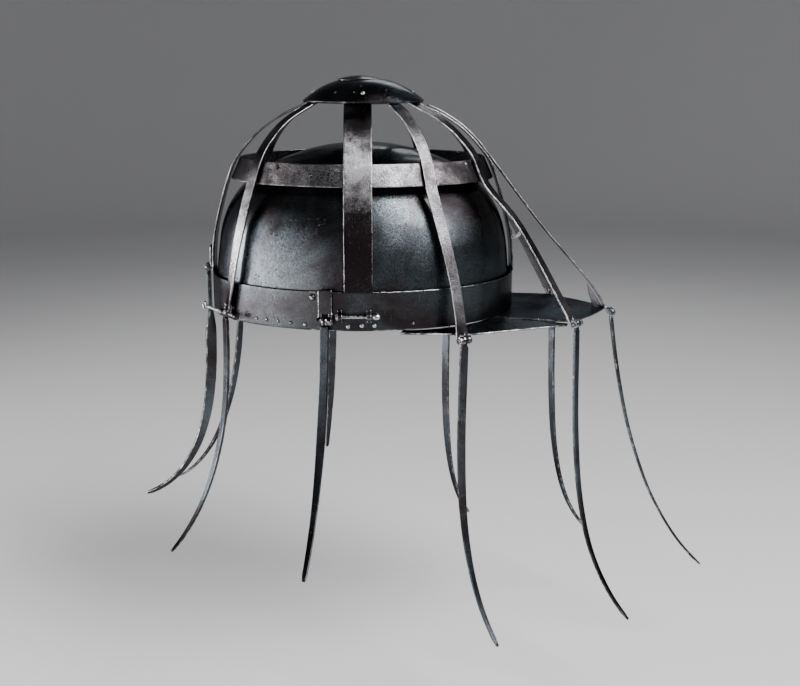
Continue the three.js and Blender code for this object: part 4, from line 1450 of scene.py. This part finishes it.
def eye_profile(sizes):
    """Wall of a leg's eye: distance along the pin, radius and wear."""
    half = EYE_WIDTH / 2
    outer = sizes.barrel
    inner = sizes.pin + PIN_PLAY
    return (
        (-half, inner, EYE_WEAR), (-half, outer - EYE_CHAMFER, 1), (-half + EYE_CHAMFER, outer, 1),
        (0, outer, EYE_WEAR), (half - EYE_CHAMFER, outer, 1), (half, outer - EYE_CHAMFER, 1),
        (half, inner, EYE_WEAR),
    )


def leg_stations(hinge, length, lean, width, twist):
    """Stations of a leg's blade from its eye to its tip."""
    place = hinge.centre.copy()
    stations = []
    for i in range(LEG_STEPS + 1):
        share = i / LEG_STEPS
        along = leg_direction(hinge, lean, share)
        if i > 0:
            place = place + leg_direction(hinge, lean, (i - 0.5) / LEG_STEPS) * (length / LEG_STEPS)
        down = share * length
        if down < BLADE_FROM:
            continue
        across = Quaternion(along, twist * smoothstep(share, *TWIST)) @ hinge.pin
        face = along.cross(across)
        filed = smoothstep(share, FILED_FROM, 1)
        blade = width + (TIP_WIDTH - width) * smoothstep(share, *TAPER)
        blade += waver(place, *LEG_EDGE_WAVES)
        wide = NECK_WIDTH + (blade - EYE_WIDTH) * smoothstep(down, NECK_FROM, NECK_TO)
        wide *= 1 - FILED_WIDTH * filed
        thick = (LEG_THICK - LEG_THINNING * share) * (1 - FILED_THICK * filed)
        spot = place + face * waver(place, *LEG_FACE_WAVES)
        wear = LEG_WEAR + TIP_WEAR * smoothstep(share, TIP_WEAR_FROM, 1)
        stations.append((spot, across, -face, wide, thick, wear))
    return stations


def make_leg(sizes, leg, length, lean, width):
    """Leg with a bored eye on the pin, a narrow neck and a curved blade."""
    hinge = Hinge(leg)
    piece = Piece()
    hoop(piece, hinge.centre, hinge.pin, eye_profile(sizes))
    twist = REAR_TWIST if leg == "leg_rear" else 0
    stations = leg_stations(hinge, length, lean, width, twist)
    sweep(piece, filed_ends(stations, LEG_EDGE), LEG_EDGE)
    piece.finish(f"{leg}_blade", finish_of("drawn_black"), "leg_iron", body=leg, replaces=[leg])


def make_legs(sizes):
    """All ten legs."""
    for leg, (length, lean, width) in LEGS.items():
        make_leg(sizes, leg, length * MM, lean, width * MM)


# Rivets: rise of the ones round the rim as a share of their radius, then the radius and rise
# of those on the upper band, how deep that lies inside the frame and how they lean
RIM_RIVET_RISE = 0.75
UPPER_RIVET = (1.5 * MM, 0.8 * MM)
UPPER_RIVET_IN = 2.7 * MM
UPPER_RIVET_LEAN = 0.5


def side_rivet(piece, forward, height, radius, side):
    """Rivet head on the brow band, at a distance forward and a height in millimetres."""
    angle = -math.acos(forward * MM / RIM.x) * side
    place = on_oval(angle, RIM.x, height * MM)
    dome(piece, place, oval_out(angle), radius * MM, radius * RIM_RIVET_RISE * MM)


def make_rivets():
    """Rivet heads round the rim and on the upper band."""
    dark = Piece()
    bright = Piece()
    for side in (1, -1):
        for forward, height, radius in RIM_RIVETS:
            side_rivet(dark, forward, height, radius, side)
        for forward, height, radius in BRIGHT_RIVETS:
            side_rivet(bright, forward, height, radius, side)
    for degrees, height in UPPER_RIVETS:
        angle = math.radians(degrees)
        place = on_oval(angle, frame_radius(height * MM) - UPPER_RIVET_IN, height * MM)
        out = (oval_out(angle) + UP * UPPER_RIVET_LEAN).normalized()
        dome(dark, place, out, *UPPER_RIVET)
    dark.finish("rim_rivets", finish_of("banded_black"), "black_iron")
    bright.finish("bright_rim_rivets", finish_of("rubbed_steel"), "worn_steel")


# The bolt's guides: radius of the loop over the bolt, how deep the feet lie in the band, how
# far up and down they reach, the length of the bend between, and the strip's width,
# thickness and edge
GUIDE_LOOP = 2.1 * MM
GUIDE_SUNK = 0.6 * MM
GUIDE_FOOT = 4.4 * MM
GUIDE_BEND = 0.8 * MM
GUIDE_WIDTH = 3.2 * MM
GUIDE_THICK = 0.9 * MM
GUIDE_EDGE = 0.25 * MM
GUIDE_LOOP_STEPS = 12
GUIDE_STEPS = 40
FORWARD = Vector((1, 0, 0))


def make_bolt():
    """Turned bolt on the right of the brow band, with a knob at each end."""
    low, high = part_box("side_bolt")
    start = Vector((low.x, (low.y + high.y) / 2, (low.z + high.z) / 2))
    piece = Piece()
    spin(piece, start, FORWARD, scaled(BOLT))
    piece.finish("bolt_rod", finish_of("rubbed_steel"), "worn_steel", replaces=["side_bolt"])
    return start


def make_bolt_guide(node, bolt):
    """Strip bent over the bolt, with both feet on the brow band."""
    low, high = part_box(node)
    middle = (low.x + high.x) / 2
    foot = -RIM.y * math.sqrt(1 - (middle / RIM.x) ** 2) - GUIDE_SUNK
    bend = GUIDE_LOOP + GUIDE_BEND
    path = [Vector((middle, foot, bolt.z + rise)) for rise in (GUIDE_FOOT, bend)]
    for step in range(GUIDE_LOOP_STEPS + 1):
        angle = math.radians(90 - 180 * step / GUIDE_LOOP_STEPS)
        out = GUIDE_LOOP * math.cos(angle)
        path.append(Vector((middle, bolt.y - out, bolt.z + GUIDE_LOOP * math.sin(angle))))
    path.extend(Vector((middle, foot, bolt.z - drop)) for drop in (bend, GUIDE_FOOT))
    line = evenly(path, GUIDE_STEPS)
    stations = []
    for i, place in enumerate(line):
        along = (line[min(i + 1, GUIDE_STEPS)] - line[max(i - 1, 0)]).normalized()
        out = along.cross(FORWARD)
        stations.append((place, FORWARD, out, GUIDE_WIDTH, GUIDE_THICK, 1.0))
    piece = Piece()
    sweep(piece, filed_ends(stations, GUIDE_EDGE), GUIDE_EDGE)
    piece.finish(f"{node}_saddle", finish_of("hinge_black"), "strap_iron", replaces=[node])


# The hook's height on the front strap, how far it stands off the frame's line, and its width
# and chamfer in millimetres
HOOK_HEIGHT = 56
HOOK_OFF = 0.9
HOOK_WIDTH = 4
HOOK_EDGE = 0.35


def make_hook():
    """Small forked hook on the front wide strap."""
    face = frame_radius(HOOK_HEIGHT * MM) / MM + HOOK_OFF
    piece = Piece()
    slab(piece, [(face + reach, HOOK_HEIGHT + rise) for reach, rise in HOOK], HOOK_WIDTH, HOOK_EDGE)
    piece.finish("front_hook", finish_of("rubbed_steel"), "strap_iron", replaces=["front_staple"])


def make_fittings():
    """The bolt in its two guides and the hook."""
    bolt = make_bolt()
    for end in ("back", "front"):
        make_bolt_guide(f"bolt_guide_{end}", bolt)
    make_hook()


# Camera: the photograph's viewing angle, found from the rim's oval and the hinges
CAMERA_SENSOR = 36
CAMERA_LENS = 53.13
CAMERA_DISTANCE = 0.95
CAMERA_AZIMUTH = -1.42
CAMERA_ELEVATION = 13.76
CAMERA_AIM = (0.0291, -0.0007, -0.0322)
CAMERA_CLIP = 0.01

# Floor: how far it lies below the brow band, its reach, the radius of the bend into the wall
# and the wall's height, in metres, with the rings of its flat part
FLOOR_BELOW = 0.30
FLOOR_REACH = 4.2
FLOOR_BEND = 1.6
FLOOR_WALL = 2.2
FLOOR_RINGS = (0.3, 0.8, 1.6)
FLOOR_STEPS = 96
FLOOR_BEND_STEPS = 16
FLOOR_ROUGHNESS = 0.9

# Light from all round: colour and strength
ROOM_COLOUR = (0.8, 0.82, 0.85, 1)
ROOM_STRENGTH = 0.1
# Area lights: place, what they point at, width, height, power in watts, spread in degrees
LIGHTS = (
    ("key_light", (0.74, -0.62, 0.95), (0.03, 0, 0.06), 0.62, 0.85, 42, 180),
    ("left_card", (-1.2, -0.5, -0.06), (0, 0, -0.06), 2.2, 0.45, 11, 120),
    ("left_lamp", (-1.5, 0.05, 0.1), (0, 0, 0), 0.35, 0.5, 11, 120),
    ("back_light", (0.3, 1.5, 1.1), (0, 0, 0.05), 0.6, 0.6, 3, 140),
)


def make_floor(finish):
    """Plain pale floor that curves up into a wall all round."""
    flat = FLOOR_REACH - FLOOR_BEND
    profile = [(distance, 0) for distance in (*FLOOR_RINGS, flat)]
    for step in range(1, FLOOR_BEND_STEPS + 1):
        angle = math.radians(90 * step / FLOOR_BEND_STEPS)
        rise = FLOOR_BEND - FLOOR_BEND * math.cos(angle)
        profile.append((flat + FLOOR_BEND * math.sin(angle), rise))
    profile.append((FLOOR_REACH, FLOOR_BEND + FLOOR_WALL))
    points = []
    for distance, height in profile:
        for step in range(FLOOR_STEPS):
            angle = math.tau * step / FLOOR_STEPS
            level = Vector((math.cos(angle), math.sin(angle), 0)) * distance
            points.append(level + UP * (height - FLOOR_BELOW))
    faces = []
    for near in range(0, len(points) - FLOOR_STEPS, FLOOR_STEPS):
        far = near + FLOOR_STEPS
        for j in range(FLOOR_STEPS):
            k = (j + 1) % FLOOR_STEPS
            faces.append((near + j, near + k, far + k, far + j))
    faces.append(tuple(reversed(range(FLOOR_STEPS))))
    mesh = bpy.data.meshes.new("pale_floor")
    mesh.from_pydata(points, [], faces)
    mesh.shade_smooth()
    mesh.materials.append(plain("pale_floor", finish.floor, FLOOR_ROUGHNESS))
    floor = bpy.data.objects.new("pale_floor", mesh)
    bpy.context.scene.collection.objects.link(floor)


def make_lights():
    """Soft light from the front right and from low on the left, and a little all round."""
    world = bpy.data.worlds.new("soft_room")
    world.use_nodes = True
    background = world.node_tree.nodes["Background"]
    background.inputs["Color"].default_value = ROOM_COLOUR
    background.inputs["Strength"].default_value = ROOM_STRENGTH
    bpy.context.scene.world = world
    for name, place, aim, width, height, power, spread in LIGHTS:
        lamp = bpy.data.lights.new(name, "AREA")
        lamp.shape = "RECTANGLE"
        lamp.size = width
        lamp.size_y = height
        lamp.energy = power
        lamp.spread = math.radians(spread)
        holder = bpy.data.objects.new(name, lamp)
        holder.location = place
        holder.rotation_euler = (Vector(aim) - Vector(place)).to_track_quat("-Z", "Y").to_euler()
        holder.visible_camera = False
        bpy.context.scene.collection.objects.link(holder)


def make_camera():
    """Camera at the photograph's viewing angle."""
    lens = bpy.data.cameras.new("photo_view")
    lens.sensor_width = CAMERA_SENSOR
    lens.lens = CAMERA_LENS
    lens.clip_start = CAMERA_CLIP
    camera = bpy.data.objects.new("photo_view", lens)
    azimuth = math.radians(CAMERA_AZIMUTH)
    elevation = math.radians(CAMERA_ELEVATION)
    level = math.cos(elevation)
    back = Vector((math.sin(azimuth) * level, -math.cos(azimuth) * level, math.sin(elevation)))
    camera.location = Vector(CAMERA_AIM) + back * CAMERA_DISTANCE
    camera.rotation_euler = (-back).to_track_quat("-Z", "Y").to_euler()
    bpy.context.scene.collection.objects.link(camera)
    bpy.context.scene.camera = camera


class HELMET_OT_skull(bpy.types.Operator):
    """Make the raised skull"""

    bl_idname = "helmet.skull"
    bl_label = "Skull"

    def execute(self, context):
        make_skull(context.scene.helmet_sizes)
        return {"FINISHED"}


class HELMET_OT_bands(bpy.types.Operator):
    """Make the brow band and the upper band"""

    bl_idname = "helmet.bands"
    bl_label = "Bands"

    def execute(self, context):
        make_brow_band(context.scene.helmet_sizes)
        make_upper_band(context.scene.helmet_sizes)
        return {"FINISHED"}


class HELMET_OT_wide_straps(bpy.types.Operator):
    """Make the four wide straps"""

    bl_idname = "helmet.wide_straps"
    bl_label = "Wide Straps"

    def execute(self, context):
        make_wide_straps(context.scene.helmet_sizes)
        return {"FINISHED"}


class HELMET_OT_crown(bpy.types.Operator):
    """Make the crown disc with its middle and rivets"""

    bl_idname = "helmet.crown"
    bl_label = "Crown"

    def execute(self, context):
        make_crown_disc()
        make_crown_button()
        make_crown_rivets()
        return {"FINISHED"}


class HELMET_OT_peak(bpy.types.Operator):
    """Make the peak and its wings"""

    bl_idname = "helmet.peak"
    bl_label = "Peak"

    def execute(self, context):
        make_peak_plate(context.scene.helmet_sizes)
        make_peak_wings(context.scene.helmet_sizes)
        return {"FINISHED"}


class HELMET_OT_leg_straps(bpy.types.Operator):
    """Make the straps that carry legs"""

    bl_idname = "helmet.leg_straps"
    bl_label = "Leg Straps"

    def execute(self, context):
        make_leg_straps(context.scene.helmet_sizes)
        return {"FINISHED"}


class HELMET_OT_hinges(bpy.types.Operator):
    """Make the hinge plates and all pins"""

    bl_idname = "helmet.hinges"
    bl_label = "Hinges"

    def execute(self, context):
        make_hinge_plates(context.scene.helmet_sizes)
        make_pins(context.scene.helmet_sizes)
        return {"FINISHED"}


class HELMET_OT_legs(bpy.types.Operator):
    """Make the ten legs"""

    bl_idname = "helmet.legs"
    bl_label = "Legs"

    def execute(self, context):
        make_legs(context.scene.helmet_sizes)
        return {"FINISHED"}


class HELMET_OT_fittings(bpy.types.Operator):
    """Make the rivets, the bolt and the hook"""

    bl_idname = "helmet.fittings"
    bl_label = "Fittings"

    def execute(self, context):
        make_rivets()
        make_fittings()
        return {"FINISHED"}


class HELMET_OT_stage(bpy.types.Operator):
    """Make the floor, the lights and the camera"""

    bl_idname = "helmet.stage"
    bl_label = "Stage"

    def execute(self, context):
        make_floor(context.scene.helmet_finish)
        make_lights()
        make_camera()
        return {"FINISHED"}


OPERATORS = (
    HELMET_OT_stage, HELMET_OT_skull, HELMET_OT_bands, HELMET_OT_wide_straps, HELMET_OT_crown,
    HELMET_OT_peak, HELMET_OT_leg_straps, HELMET_OT_hinges, HELMET_OT_legs, HELMET_OT_fittings,
)


class HELMET_PT_pieces(bpy.types.Panel):
    """Lists the helmet's pieces in the sidebar"""

    bl_idname = "HELMET_PT_pieces"
    bl_label = "Spider Helmet"
    bl_space_type = "VIEW_3D"
    bl_region_type = "UI"
    bl_category = "Helmet"

    def draw(self, context):
        for group in (context.scene.helmet_sizes, context.scene.helmet_finish):
            for name in group.__annotations__:
                self.layout.prop(group, name)
        for operator in OPERATORS:
            self.layout.operator(operator.bl_idname)


CLASSES = (HelmetSizes, HelmetFinish, *OPERATORS, HELMET_PT_pieces)


def register():
    """Registers the classes and hangs the settings on the scene."""
    for item in CLASSES:
        bpy.utils.register_class(item)
    bpy.types.Scene.helmet_sizes = bpy.props.PointerProperty(type=HelmetSizes)
    bpy.types.Scene.helmet_finish = bpy.props.PointerProperty(type=HelmetFinish)


def unregister():
    """Takes the settings and the classes away again."""
    del bpy.types.Scene.helmet_finish
    del bpy.types.Scene.helmet_sizes
    for item in reversed(CLASSES):
        bpy.utils.unregister_class(item)


def main():
    """Makes the whole helmet."""
    register()
    bpy.ops.helmet.stage()
    bpy.ops.helmet.skull()
    bpy.ops.helmet.bands()
    bpy.ops.helmet.wide_straps()
    bpy.ops.helmet.crown()
    bpy.ops.helmet.peak()
    bpy.ops.helmet.leg_straps()
    bpy.ops.helmet.hinges()
    bpy.ops.helmet.legs()
    bpy.ops.helmet.fittings()


if __name__ == "__main__":
    main()
